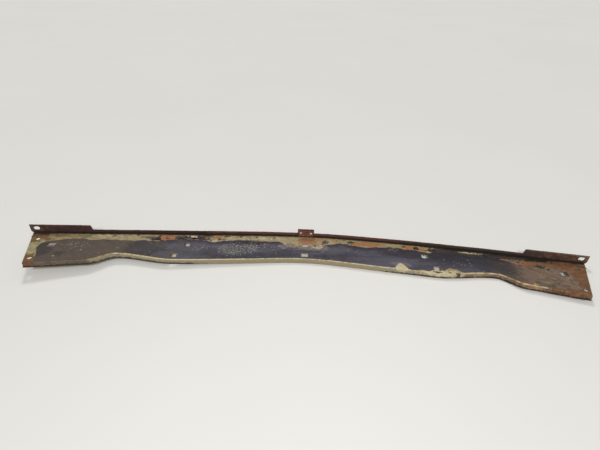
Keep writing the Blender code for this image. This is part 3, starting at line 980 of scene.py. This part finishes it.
def tab_paint(finish):
    """Red-brown rust over the last of the paint."""
    paint, tree, shader, place = start_material("tab_red_rust")
    rusty = rust_of(tree, place, 180, finish.tab_dark, finish.tab_red, finish.tab_bloom)
    grain = grain_of(tree, place, 90)
    colour = tint(tree, rusty["Color"], attribute(tree, "rim"), 0.9, finish.tab_dark)
    colour = tint(tree, colour, grain["Scratches"], 0.25, finish.tab_bloom)
    rough = remap(tree, grain["Dirt"], 0, 1, 0.6, 0.9)
    finish_material(tree, shader, colour, rough, rusty["Height"], 0.6, 0.0004)
    return paint


def weld_paint(finish):
    """Dull rusty weld metal with bright specks."""
    paint, tree, shader, place = start_material("weld_rusted")
    rusty = rust_of(tree, place, 400, finish.rust_dark, finish.tab_red, finish.rust_orange)
    specks = flecks_of(tree, place, 900, 0.3)
    colour = tint(tree, rusty["Color"], specks, 0.6, finish.residue)
    rough = remap(tree, rusty["Height"], 0.6, 1.4, 0.5, 0.85)
    tree.links.new(calculate(tree, "MULTIPLY", specks, 0.7), shader.inputs["Metallic"])
    finish_material(tree, shader, colour, rough, rusty["Height"], 0.7, 0.0003)
    return paint


def curl_paint(finish):
    """Pale back of a curled scrap of facing."""
    paint, tree, shader, place = start_material("facing_scrap_back")
    grain = grain_of(tree, place, 160)
    colour = blend_colour(tree, grain["Dirt"], finish.primer_tan, finish.curl)
    rough = remap(tree, grain["Dirt"], 0, 1, 0.5, 0.8)
    finish_material(tree, shader, colour, rough, grain["Height"], 0.5, 0.0003)
    return paint


def floor_paint(finish):
    """Even pale floor with the faintest unevenness."""
    paint, tree, shader, place = start_material("pale_table")
    cloud = remap(tree, noise_value(tree, place, 1.6, 3), 0.3, 0.7)
    colour = blend_colour(tree, cloud, finish.floor_shade, finish.floor)
    rough = remap(tree, noise_value(tree, place, 90, 2), 0.3, 0.7, 0.78, 0.86)
    shader.inputs["Specular IOR Level"].default_value = 0.25
    finish_material(tree, shader, colour, rough, noise_value(tree, place, 400, 2), 0.03, 0.0001)
    return paint


# ---------------------------------------------------------------- pieces

def lip_rows(sizes):
    """Rows from the foot's outer edge, up the lip, over the crease and back to the rear edge."""
    foot_drop = LIP_HEIGHT - SHEET
    outer = LIP_SPLAY + FOOT_RADIUS
    rows = [("lip", LIP_SPLAY + FOOT_WIDTH, foot_drop)]
    for angle in (90, 68, 45, 22, 0):
        turn = math.radians(angle)
        rows.append(("lip", outer - FOOT_RADIUS * math.cos(turn),
                     foot_drop - FOOT_RADIUS * (1 - math.sin(turn))))
    rows.append(("lip", *WALL_MIDDLE))
    for angle in (90, 75, 60, 45, 30, 15, 0):
        turn = math.radians(angle)
        rows.append(("lip", -CREASE_RADIUS * (1 - math.sin(turn)),
                     CREASE_RADIUS * (1 - math.cos(turn))))
    for step in range(sizes.panel_rows - 1, -1, -1):
        rows.append(("flat", step / sizes.panel_rows, 0))
    return rows


def lip_point(front_x, offset, drop):
    level = min(offset, 0)
    fade = smooth(FLAT_END - abs(front_x), 0, 50 * MM)
    wave = WALL_WAVE * noise.noise(Vector((front_x * 24, 5, 1))) * fade
    point = surface(front_x, crease_depth(front_x), TILT * level - drop)
    return point + crease_outward(front_x) * (offset + wave * smooth(drop, 2 * MM, 8 * MM))


def panel_point(station, row):
    kind, offset, drop = row
    taper = max(abs(station) - INSET_START, 0) / (PANEL_HALF - INSET_START)
    front_x = station - math.copysign(END_INSET * taper, station)
    if kind == "lip":
        return lip_point(front_x, offset, drop)
    front = lip_point(front_x, -CREASE_RADIUS, 0)
    front_depth = place_of(front)[1]
    rear_x = station - (station - front_x) * PANEL_SETBACK / crease_depth(front_x)
    x = rear_x + (front.x - rear_x) * offset
    return surface(x, PANEL_SETBACK + (front_depth - PANEL_SETBACK) * offset)


def build_panel(sizes, finish):
    step = sizes.column_step
    half = stations((0, 380 * MM, step), (380 * MM, 470 * MM, step * 0.6),
                    (470 * MM, INSET_START, step), (INSET_START, PANEL_HALF, step))
    panel = placed_grid("panel", mirrored(half), lip_rows(sizes), panel_point)
    thicken(panel, SHEET)
    apply_modifiers(panel)
    tools = [square_tool(surface(x, depth), side) for x, depth, side in SQUARE_HOLES]
    tools += [round_tool(surface(x, depth), ROUND_HOLE_RADIUS) for x, depth in ROUND_HOLES]
    cut(panel, tools)
    panel_zones(panel)
    return finish_piece(panel, ["web_panel"], panel_paint(finish))


def rail_top(x):
    rise = smooth(abs(x), PAD_START - 0.2 * MM, PAD_START + TAB_SLOPE + 0.6 * MM)
    return FLANGE_HEIGHT + (TAB_HEIGHT - FLANGE_HEIGHT) * rise


def rail_rows():
    """Depth, height, pull at the very end, and share of the flange above its foot."""
    floor = -SHEET - GAP
    rows = [(LEG_WIDTH, floor, LEG_PULL[0], None), (LEG_WIDTH / 2, floor, LEG_PULL[1], None)]
    for angle in (0, 15, 30, 45, 60, 75, 90):
        turn = math.radians(angle)
        rows.append((RAIL_RADIUS * (1 - math.sin(turn)), floor + RAIL_RADIUS * (1 - math.cos(turn)),
                     BEND_PULL[0] - BEND_PULL[1] * math.sin(turn), None))
    rows += [(0, height, pull, None) for height, pull in FLANGE_FOOT]
    rows += [(0, FLANGE_FOOT[-1][0], 0, share) for share in FLANGE_SHARES]
    return rows


def rail_point(x, row):
    depth, height, pull, share = row
    if share is not None:
        height += (rail_top(x) - height) * share
    if abs(x) > RAIL_HALF - 1e-6:
        x -= math.copysign(pull, x)
    fade = smooth(0.58 - abs(x), 0, 0.08)
    upper = smooth(height, FLANGE_FOOT[0][0], FLANGE_HEIGHT)
    lean = fade * RAIL_LEAN * noise.noise(Vector((x * 15, 2, 4))) * upper
    nick = fade * RAIL_NICK * noise.noise(Vector((x * 90, 7, 4))) if share == 1.0 else 0
    return surface(x, depth - lean, height + nick)


def build_rail(sizes, finish):
    step = sizes.column_step
    half = stations((0, 474 * MM, step), (474 * MM, 484 * MM, 0.8 * MM), (484 * MM, 597 * MM, step),
                    (597 * MM, RAIL_HALF, 11 * MM))
    rail = placed_grid("rail", mirrored(half), rail_rows(), rail_point)
    thicken(rail, SHEET)
    apply_modifiers(rail)
    tools = []
    for side in (-1, 1):
        tools.append(round_tool(surface(side * SLOT_X, 0, SLOT_Z), SLOT_WIDTH / 2, along_y=True,
                                stretch=SLOT_LENGTH - SLOT_WIDTH))
        tools.append(round_tool(surface(side * TAB_HOLE_X, 0, TAB_HOLE_Z), NOTCH_RADIUS,
                                along_y=True))
    for k in range(WELD_COUNT):
        x = -WELD_REACH + 2 * WELD_REACH * k / (WELD_COUNT - 1)
        tools.append(round_tool(surface(x, WELD_DEPTH, -3 * MM), WELD_HOLE_RADIUS, sides=24,
                                length=8 * MM))
    cut(rail, tools)
    rail_zones(rail)
    return finish_piece(rail, ["rear_rail"], rail_paint(finish))


def build_centre_tab(finish):
    """A pressed tray with rounded top corners, a rim and two holes."""
    height = CENTRE_TOP - CENTRE_BOTTOM
    middle = HUNG + Vector((0, -GAP - CENTRE_BODY / 2, CENTRE_BOTTOM + height / 2))
    deselect()
    bpy.ops.mesh.primitive_cube_add(size=1, location=middle)
    tab = named("centre_tray")
    tab.scale = (CENTRE_WIDTH, CENTRE_BODY, height)
    bpy.ops.object.transform_apply(location=False, rotation=False, scale=True)
    bpy.ops.object.mode_set(mode="EDIT")
    bpy.ops.mesh.select_all(action="DESELECT")
    shape = bmesh.from_edit_mesh(tab.data)
    for edge in shape.edges:
        first, second = (corner.co for corner in edge.verts)
        edge.select = first.z > 0 and second.z > 0 and abs(first.y - second.y) > CENTRE_BODY / 2
    shape.select_flush_mode()
    bmesh.update_edit_mesh(tab.data)
    bpy.ops.mesh.bevel(offset=TAB_CORNER, segments=8, affect="EDGES")
    bpy.ops.object.mode_set(mode="OBJECT")
    deselect()
    bpy.ops.mesh.primitive_cube_add(size=1, location=middle + Vector((0, -SHEET, -RIM)))
    pocket = bpy.context.active_object
    pocket.scale = (CENTRE_WIDTH - 2 * RIM, CENTRE_BODY, height)
    bpy.ops.object.transform_apply(location=False, rotation=False, scale=True)
    bpy.ops.object.mode_set(mode="EDIT")
    bpy.ops.mesh.select_all(action="SELECT")
    bpy.ops.mesh.bevel(offset=POCKET_CORNER, segments=3, affect="EDGES")
    bpy.ops.object.mode_set(mode="OBJECT")
    cut(tab, [pocket])
    tools = []
    for side in (-1, 1):
        tools.append(round_tool(HUNG + Vector((side * TAB_HOLE_X, 0, TAB_HOLE_Z)), TAB_HOLE_RADIUS,
                                along_y=True))
        tools.append(round_tool(HUNG + Vector((side * TAB_WELD_X, 0, TAB_WELD_Z)),
                                TAB_WELD_HOLE_RADIUS, along_y=True, sides=24))
    cut(tab, tools)
    soften(tab, TAB_EDGE, 2, 40)
    apply_modifiers(tab)
    make_active(tab)
    bpy.ops.object.transform_apply(location=True, rotation=True, scale=True)

    def rim(x, depth, height_up):
        side = smooth(abs(x), CENTRE_WIDTH / 2 - RIM * 1.4, CENTRE_WIDTH / 2 - RIM * 0.7)
        return max(side, smooth(height_up, CENTRE_TOP - RIM * 1.6, CENTRE_TOP - RIM * 0.7))

    write_zones(tab, rim=rim)
    return finish_piece(tab, ["centre_tab"], tab_paint(finish))


def ragged(x, seed, size):
    """Uneven offset of a torn edge in millimetres, at x in millimetres."""
    slow = noise.noise(Vector((x * 0.045, seed, 0.3)))
    quick = noise.noise(Vector((x * 0.19, seed, 5.3)))
    sharp = noise.noise(Vector((x * 0.55, seed, 9.1)))
    return size * (1.2 * slow + 1.0 * quick + 0.5 * sharp)


def facing_edges(x):
    """Depth of the facing's rear and front edges at x, all in millimetres."""
    rear = along(FACING_REAR, x) + ragged(x, 1.7, 2.4) * smooth(x, -560, -520)
    margin = FACING_FRONT - FACING_REACH * (1 - smooth(abs(x), *REACH_FADE))
    front = crease_depth(x * MM) / MM - margin + ragged(x, 4.4, 0.4)
    front = min(front, along(FACING_END_FRONT, x))
    for start, end, reach in FRONT_BITES:
        inside = smooth(x, start - 4, start + 15) * (1 - smooth(x, end - 15, end + 4))
        if inside > 0:
            bitten = front + (reach - front) * inside + ragged(x, 7.9, 2.2) * inside
            front = min(front, bitten)
    return rear, max(front, rear + 1)


def facing_point(x, share):
    """A corner of the facing, lifted here and there along its torn edges."""
    rear, front = facing_edges(x)
    depth = rear + (front - rear) * share
    from_rear = depth - rear
    from_front = front - depth
    loose = max(0, noise.noise(Vector((x * 0.06, 3.3, 2.2)))) * (1 - smooth(from_rear, 0, 7))
    loose_front = max(0, noise.noise(Vector((x * 0.05, 8.3, 2.2)))) * (1 - smooth(from_front, 0, 5))
    lift = (2.2 * loose + 0.9 * loose_front) * smooth(x, -540, -500) * (1 - smooth(x, 430, 470))
    return surface(x * MM, depth * MM, PLY + PLY_FLOAT + lift * MM)


def build_facing(sizes, finish):
    columns = stations((FACING_LEFT, FACING_RIGHT, sizes.facing_step / MM))
    shares = [1, 0.985, 0.96, 0.92] + [0.88 - 0.08 * k for k in range(10)] + [0.1, 0.06, 0.03, 0]
    facing = placed_grid("facing", columns, shares, facing_point)
    thicken(facing, PLY)
    apply_modifiers(facing)
    tools = []
    for x, depth, side in SQUARE_HOLES:
        if FACING_LEFT < x / MM < FACING_RIGHT and depth / MM > along(FACING_REAR, x / MM):
            tools.append(square_tool(surface(x, depth), side + 0.8 * MM, 1.2 * MM))
    for number, (x, depth, length, width) in enumerate(CHIPS):
        tools.append(chip_tool(number, x * MM, depth * MM, length * MM, width * MM))
    cut(facing, tools)
    facing_zones(facing)
    return finish_piece(facing, ["black_facing"], facing_paint(finish))


def build_scrap(name, x, depth, length, width, seed, curl, sides=26):
    """An island of facing with a torn outline and curled edges. Sizes in millimetres."""
    deselect()
    bpy.ops.mesh.primitive_circle_add(vertices=sides, radius=1, fill_type="NGON")
    scrap = named(name)
    bpy.ops.object.mode_set(mode="EDIT")
    bpy.ops.mesh.select_all(action="SELECT")
    for _ in range(3):
        bpy.ops.mesh.inset(thickness=0.24)
    bpy.ops.mesh.poke()
    bpy.ops.object.mode_set(mode="OBJECT")
    for corner in scrap.data.vertices:
        radius = min(1, corner.co.length)
        turn = math.atan2(corner.co.y, corner.co.x)
        edge = Vector((math.cos(turn) * 1.6, math.sin(turn) * 1.6, seed))
        reach = 1 + SCRAP_TEAR[0] * noise.noise(edge) + SCRAP_TEAR[1] * noise.noise(edge * 3.1)
        up = curl * radius ** 3 * max(0, noise.noise(edge * 0.7 + Vector((4, 0, 0))) + 0.25)
        corner.co = surface((x + corner.co.x * reach * length / 2) * MM,
                            (depth - corner.co.y * reach * width / 2) * MM,
                            PLY + PLY_FLOAT + up * MM)
    thicken(scrap, PLY * 0.8)
    apply_modifiers(scrap)
    return scrap


def build_scraps(paint):
    """The six large islands, each standing for its own solid."""
    for number, (x, depth, length, width) in enumerate(FLAKES, 1):
        scrap = build_scrap(f"scrap_{number}", x, depth, length, width, number * 3.7, SCRAP_CURL)
        facing_zones(scrap)
        finish_piece(scrap, [f"facing_flake_{number}"], paint)


def build_crumbs(paint):
    """Loose crumbs of facing beside the torn rear edge, joined into one piece."""
    chance = random.Random(CRUMB_SEED)
    crumbs = []
    for start, end, count in CRUMB_RUNS:
        for _ in range(count):
            x = chance.uniform(start, end)
            rear = along(FACING_REAR, x)
            depth = rear - chance.uniform(1, max(2, rear - 8))
            size = chance.uniform(*CRUMB_SIZES)
            crumbs.append(build_scrap("crumb", x, depth, size * 1.4, size * 0.8,
                                      chance.uniform(0, 50), CRUMB_CURL, sides=9))
    deselect()
    for crumb in crumbs:
        crumb.select_set(True)
    bpy.context.view_layer.objects.active = crumbs[0]
    bpy.ops.object.join()
    joined = named("facing_crumbs")
    facing_zones(joined)
    finish_piece(joined, [], paint)


def build_curl(finish):
    """A pale scrap of facing curled up on the rear strip."""
    def place(across, share):
        turn = CURL_TURN * share
        uneven = 1 + 0.2 * noise.noise(Vector((across * 0.4, share * 2, 1)))
        radius = (CURL_RADIUS[0] - CURL_RADIUS[1] * share) * uneven
        depth = CURL_PLACE[1] - radius * math.sin(turn) + across * 0.12
        return surface((CURL_PLACE[0] + across) * MM, depth * MM,
                       (0.5 + radius * (1 - math.cos(turn))) * MM)

    across_steps, turn_steps = CURL_STEPS
    columns = [CURL_HALF * (2 * k / across_steps - 1) for k in range(across_steps + 1)]
    rows = [k / turn_steps for k in range(turn_steps + 1)]
    curl = placed_grid("curled_scrap", columns, rows, place)
    thicken(curl, 0.35 * MM, 0)
    apply_modifiers(curl)
    return finish_piece(curl, [], curl_paint(finish), 60)


# ---------------------------------------------------------------- settings

def colour_property(name, description, value):
    return bpy.props.FloatVectorProperty(
        name=name, description=description, subtype="COLOR", size=3, min=0, max=1,
        default=linear(value))


class StripSizes(bpy.types.PropertyGroup):
    """Fineness of the modelled sheets."""
    column_step: bpy.props.FloatProperty(
        name="Column Step", description="Distance between columns of the panel and the rail",
        default=4 * MM, min=1 * MM, max=20 * MM, unit="LENGTH", subtype="DISTANCE")
    facing_step: bpy.props.FloatProperty(
        name="Facing Step", description="Distance between columns of the facing's torn edge",
        default=1.6 * MM, min=0.5 * MM, max=10 * MM, unit="LENGTH", subtype="DISTANCE")
    panel_rows: bpy.props.IntProperty(
        name="Panel Rows", description="Rows across the flat of the panel", default=18, min=2,
        max=60)
    floor_size: bpy.props.FloatProperty(
        name="Floor Size", description="Side of the pale floor", default=24, min=2, max=60,
        unit="LENGTH", subtype="DISTANCE")


class StripFinish(bpy.types.PropertyGroup):
    """Colours of the strip's finishes."""
    primer: colour_property("Primer", "Cream primer", (172, 164, 120))
    primer_dirty: colour_property("Dirty Primer", "Primer where dirt has settled", (126, 118, 82))
    # Darker olive that stands for the lip's wall in shade: painted shade.
    primer_olive_and_shade: colour_property("Olive Primer", "Primer on the lip's wall", (141, 134, 111))
    primer_tan: colour_property("Tan Primer", "Primer stained tan", (160, 122, 80))
    # Also the colour of the painted highlight along the crease and the painted sheen by the rail.
    bright_primer_and_highlight: colour_property("Bright Primer", "Primer rubbed bright", (214, 204, 168))
    residue: colour_property("Residue", "Adhesive left on the panel", (136, 118, 101))
    residue_dark: colour_property("Dark Residue", "Dirty adhesive", (98, 80, 64))
    rust_dark: colour_property("Dark Rust", "Rust scale", (74, 50, 37))
    rust_brown: colour_property("Brown Rust", "Ordinary rust", (108, 72, 44))
    rust_brown_light: colour_property("Light Brown Rust", "Paler rust", (136, 91, 55))
    rust_orange: colour_property("Orange Rust", "Bloom of fresh rust", (178, 118, 80))
    # Black dirt, and also the colour of the painted shade along the rail's base, at the lip's foot
    # and at the rail's foot.
    grime: colour_property("Grime", "Black dirt and bitumen", (30, 24, 22))
    facing_blue: colour_property("Facing Blue", "Blue-black of the facing", (84, 81, 94))
    facing_dark: colour_property("Facing Dark", "Dark of the facing", (52, 49, 58))
    facing_black: colour_property("Facing Black", "Darkest of the facing", (30, 26, 34))
    facing_violet: colour_property("Facing Violet", "Tint along the torn edge", (44, 35, 50))
    facing_brown: colour_property("Facing Brown", "Facing dusted brown", (103, 88, 74))
    facing_brown_dark: colour_property("Facing Dark Brown", "Dark of that", (72, 60, 49))
    facing_tawny: colour_property("Facing Tawny", "Facing rusted over", (128, 105, 90))
    facing_film: colour_property("Facing Film", "Pale film by the notch", (140, 129, 131))
    facing_scuff: colour_property("Facing Scuff", "Scuffs on the facing", (104, 98, 102))
    scrap_maroon: colour_property("Scrap Maroon", "Tint of the torn islands", (66, 30, 32))
    stain: colour_property("Stain", "Brown stain on the panel", (104, 88, 70))
    stain_dark: colour_property("Dark Stain", "Dark of that", (62, 50, 40))
    chip: colour_property("Chip", "Primer showing at a chip", (196, 190, 166))
    curl: colour_property("Curl", "Back of a curled scrap", (232, 222, 206))
    rail_maroon: colour_property("Rail Maroon", "Paint of the rail", (78, 46, 46))
    rail_shadow: colour_property("Rail Shadow", "Dirty paint of the rail", (52, 32, 32))
    rail_red: colour_property("Rail Red", "Rail where it has reddened", (104, 66, 60))
    rail_grey: colour_property("Rail Grey", "Rail where it is grey-brown", (70, 58, 52))
    # Also the colour of the painted highlight along the rail's top edge.
    rail_worn: colour_property("Rail Worn", "Rubbed edge of the rail", (128, 106, 94))
    tab_red: colour_property("Tab Red", "Centre tab", (120, 76, 64))
    tab_dark: colour_property("Tab Dark", "Rim of the centre tab", (58, 24, 20))
    tab_bloom: colour_property("Tab Bloom", "Light rust on the centre tab", (150, 106, 88))
    floor: colour_property("Floor", "Pale floor", (236, 235, 232))
    floor_shade: colour_property("Floor Shade", "Slightly darker floor", (234, 233, 229))


# ---------------------------------------------------------------- operators

class FOOTSTRIP_OT_panel(bpy.types.Operator):
    """Model the panel with its lip and holes"""
    bl_idname = "footstrip.panel"
    bl_label = "Panel"

    def execute(self, context):
        scene = context.scene
        build_panel(scene.strip_sizes, scene.strip_finish)
        return {"FINISHED"}


class FOOTSTRIP_OT_rail(bpy.types.Operator):
    """Model the rear rail with its end tabs and its weld holes"""
    bl_idname = "footstrip.rail"
    bl_label = "Rear Rail"

    def execute(self, context):
        scene = context.scene
        build_rail(scene.strip_sizes, scene.strip_finish)
        return {"FINISHED"}


class FOOTSTRIP_OT_centre_tab(bpy.types.Operator):
    """Model the centre tab"""
    bl_idname = "footstrip.centre_tab"
    bl_label = "Centre Tab"

    def execute(self, context):
        build_centre_tab(context.scene.strip_finish)
        return {"FINISHED"}


class FOOTSTRIP_OT_welds(bpy.types.Operator):
    """Give the weld plugs their finish"""
    bl_idname = "footstrip.welds"
    bl_label = "Welds"

    def execute(self, context):
        paint = weld_paint(context.scene.strip_finish)
        for name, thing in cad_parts.items():
            if "_weld_" in name:
                thing.data.materials.clear()
                thing.data.materials.append(paint)
        return {"FINISHED"}


class FOOTSTRIP_OT_facing(bpy.types.Operator):
    """Model the facing, its islands, its crumbs and the curled scrap"""
    bl_idname = "footstrip.facing"
    bl_label = "Facing"

    def execute(self, context):
        scene = context.scene
        build_facing(scene.strip_sizes, scene.strip_finish)
        paint = scrap_paint(scene.strip_finish)
        build_scraps(paint)
        build_crumbs(paint)
        build_curl(scene.strip_finish)
        return {"FINISHED"}


class FOOTSTRIP_OT_stage(bpy.types.Operator):
    """Add the floor, the light and the camera"""
    bl_idname = "footstrip.stage"
    bl_label = "Stage"

    def execute(self, context):
        scene = context.scene
        deselect()
        bpy.ops.mesh.primitive_plane_add(size=scene.strip_sizes.floor_size, location=(0, 0, 0))
        floor = named("pale_floor")
        floor.data.materials.append(floor_paint(scene.strip_finish))
        add_panel_light("fill_light", FILL_PLACE, FILL_SIZE, FILL_POWER)
        for sun in SUNS:
            add_sun(*sun)
        world = bpy.data.worlds.new("soft_room")
        world.use_nodes = True
        sky = world.node_tree.nodes["Background"]
        sky.inputs["Color"].default_value = (*ROOM_WHITE, 1)
        sky.inputs["Strength"].default_value = SKY_STRENGTH
        scene.world = world
        scene.camera = add_camera()
        scene.view_settings.view_transform = "Standard"
        return {"FINISHED"}


def add_panel_light(name, place, size, power):
    """A square light that faces the middle of the strip."""
    lamp = bpy.data.lights.new(name, "AREA")
    lamp.size = size
    lamp.energy = power
    lamp.color = ROOM_WHITE
    thing = bpy.data.objects.new(name, lamp)
    thing.matrix_world = (Matrix.Translation(place)
                          @ (-Vector(place)).to_track_quat("-Z", "Y").to_matrix().to_4x4())
    bpy.context.scene.collection.objects.link(thing)


def add_sun(name, azimuth, elevation, spread, strength):
    """A soft distant light. Azimuth 0 comes from the front, and 90 from the left."""
    lamp = bpy.data.lights.new(name, "SUN")
    lamp.energy = strength
    lamp.angle = math.radians(spread)
    lamp.color = ROOM_WHITE
    thing = bpy.data.objects.new(name, lamp)
    turn, rise = math.radians(azimuth), math.radians(elevation)
    source = Vector((-math.sin(turn) * math.cos(rise), -math.cos(turn) * math.cos(rise),
                     math.sin(rise)))
    thing.matrix_world = (Matrix.Translation(source * SUN_DISTANCE)
                          @ (-source).to_track_quat("-Z", "Y").to_matrix().to_4x4())
    bpy.context.scene.collection.objects.link(thing)


def add_camera():
    """The camera, from its place and three angles."""
    lens = bpy.data.cameras.new("camera")
    lens.sensor_width = CAMERA_SENSOR
    lens.lens = CAMERA_LENS
    lens.clip_start = 0.01
    camera = bpy.data.objects.new("camera", lens)
    pitch, yaw, roll = CAMERA_PITCH, CAMERA_YAW, CAMERA_ROLL
    forward = Vector((math.sin(yaw) * math.cos(pitch), math.cos(yaw) * math.cos(pitch),
                      -math.sin(pitch)))
    right = Vector((math.cos(yaw), -math.sin(yaw), 0))
    up = Vector((math.sin(yaw) * math.sin(pitch), math.cos(yaw) * math.sin(pitch),
                 math.cos(pitch)))
    turned_right = right * math.cos(roll) - up * math.sin(roll)
    turned_up = right * math.sin(roll) + up * math.cos(roll)
    axes = Matrix((turned_right, turned_up, -forward)).transposed().to_4x4()
    camera.matrix_world = Matrix.Translation(CAMERA_PLACE) @ axes
    bpy.context.scene.collection.objects.link(camera)
    return camera


class FOOTSTRIP_PT_pieces(bpy.types.Panel):
    """Lists the strip's pieces and settings"""
    bl_idname = "FOOTSTRIP_PT_pieces"
    bl_label = "Foot Strip"
    bl_space_type = "VIEW_3D"
    bl_region_type = "UI"
    bl_category = "Foot Strip"

    def draw(self, context):
        layout = self.layout
        for operator in OPERATORS:
            layout.operator(operator.bl_idname)
        for group in (context.scene.strip_sizes, context.scene.strip_finish):
            box = layout.box()
            for name in group.__annotations__:
                box.prop(group, name)


OPERATORS = (FOOTSTRIP_OT_panel, FOOTSTRIP_OT_rail, FOOTSTRIP_OT_centre_tab, FOOTSTRIP_OT_welds,
             FOOTSTRIP_OT_facing, FOOTSTRIP_OT_stage)
CLASSES = (StripSizes, StripFinish, *OPERATORS, FOOTSTRIP_PT_pieces)


def register():
    for cls in CLASSES:
        bpy.utils.register_class(cls)
    bpy.types.Scene.strip_sizes = bpy.props.PointerProperty(type=StripSizes)
    bpy.types.Scene.strip_finish = bpy.props.PointerProperty(type=StripFinish)


def unregister():
    del bpy.types.Scene.strip_finish
    del bpy.types.Scene.strip_sizes
    for cls in reversed(CLASSES):
        bpy.utils.unregister_class(cls)


def main():
    register()
    build_groups()
    bpy.ops.footstrip.panel()
    bpy.ops.footstrip.rail()
    bpy.ops.footstrip.centre_tab()
    bpy.ops.footstrip.welds()
    bpy.ops.footstrip.facing()
    bpy.ops.footstrip.stage()


if __name__ == "__main__":
    main()
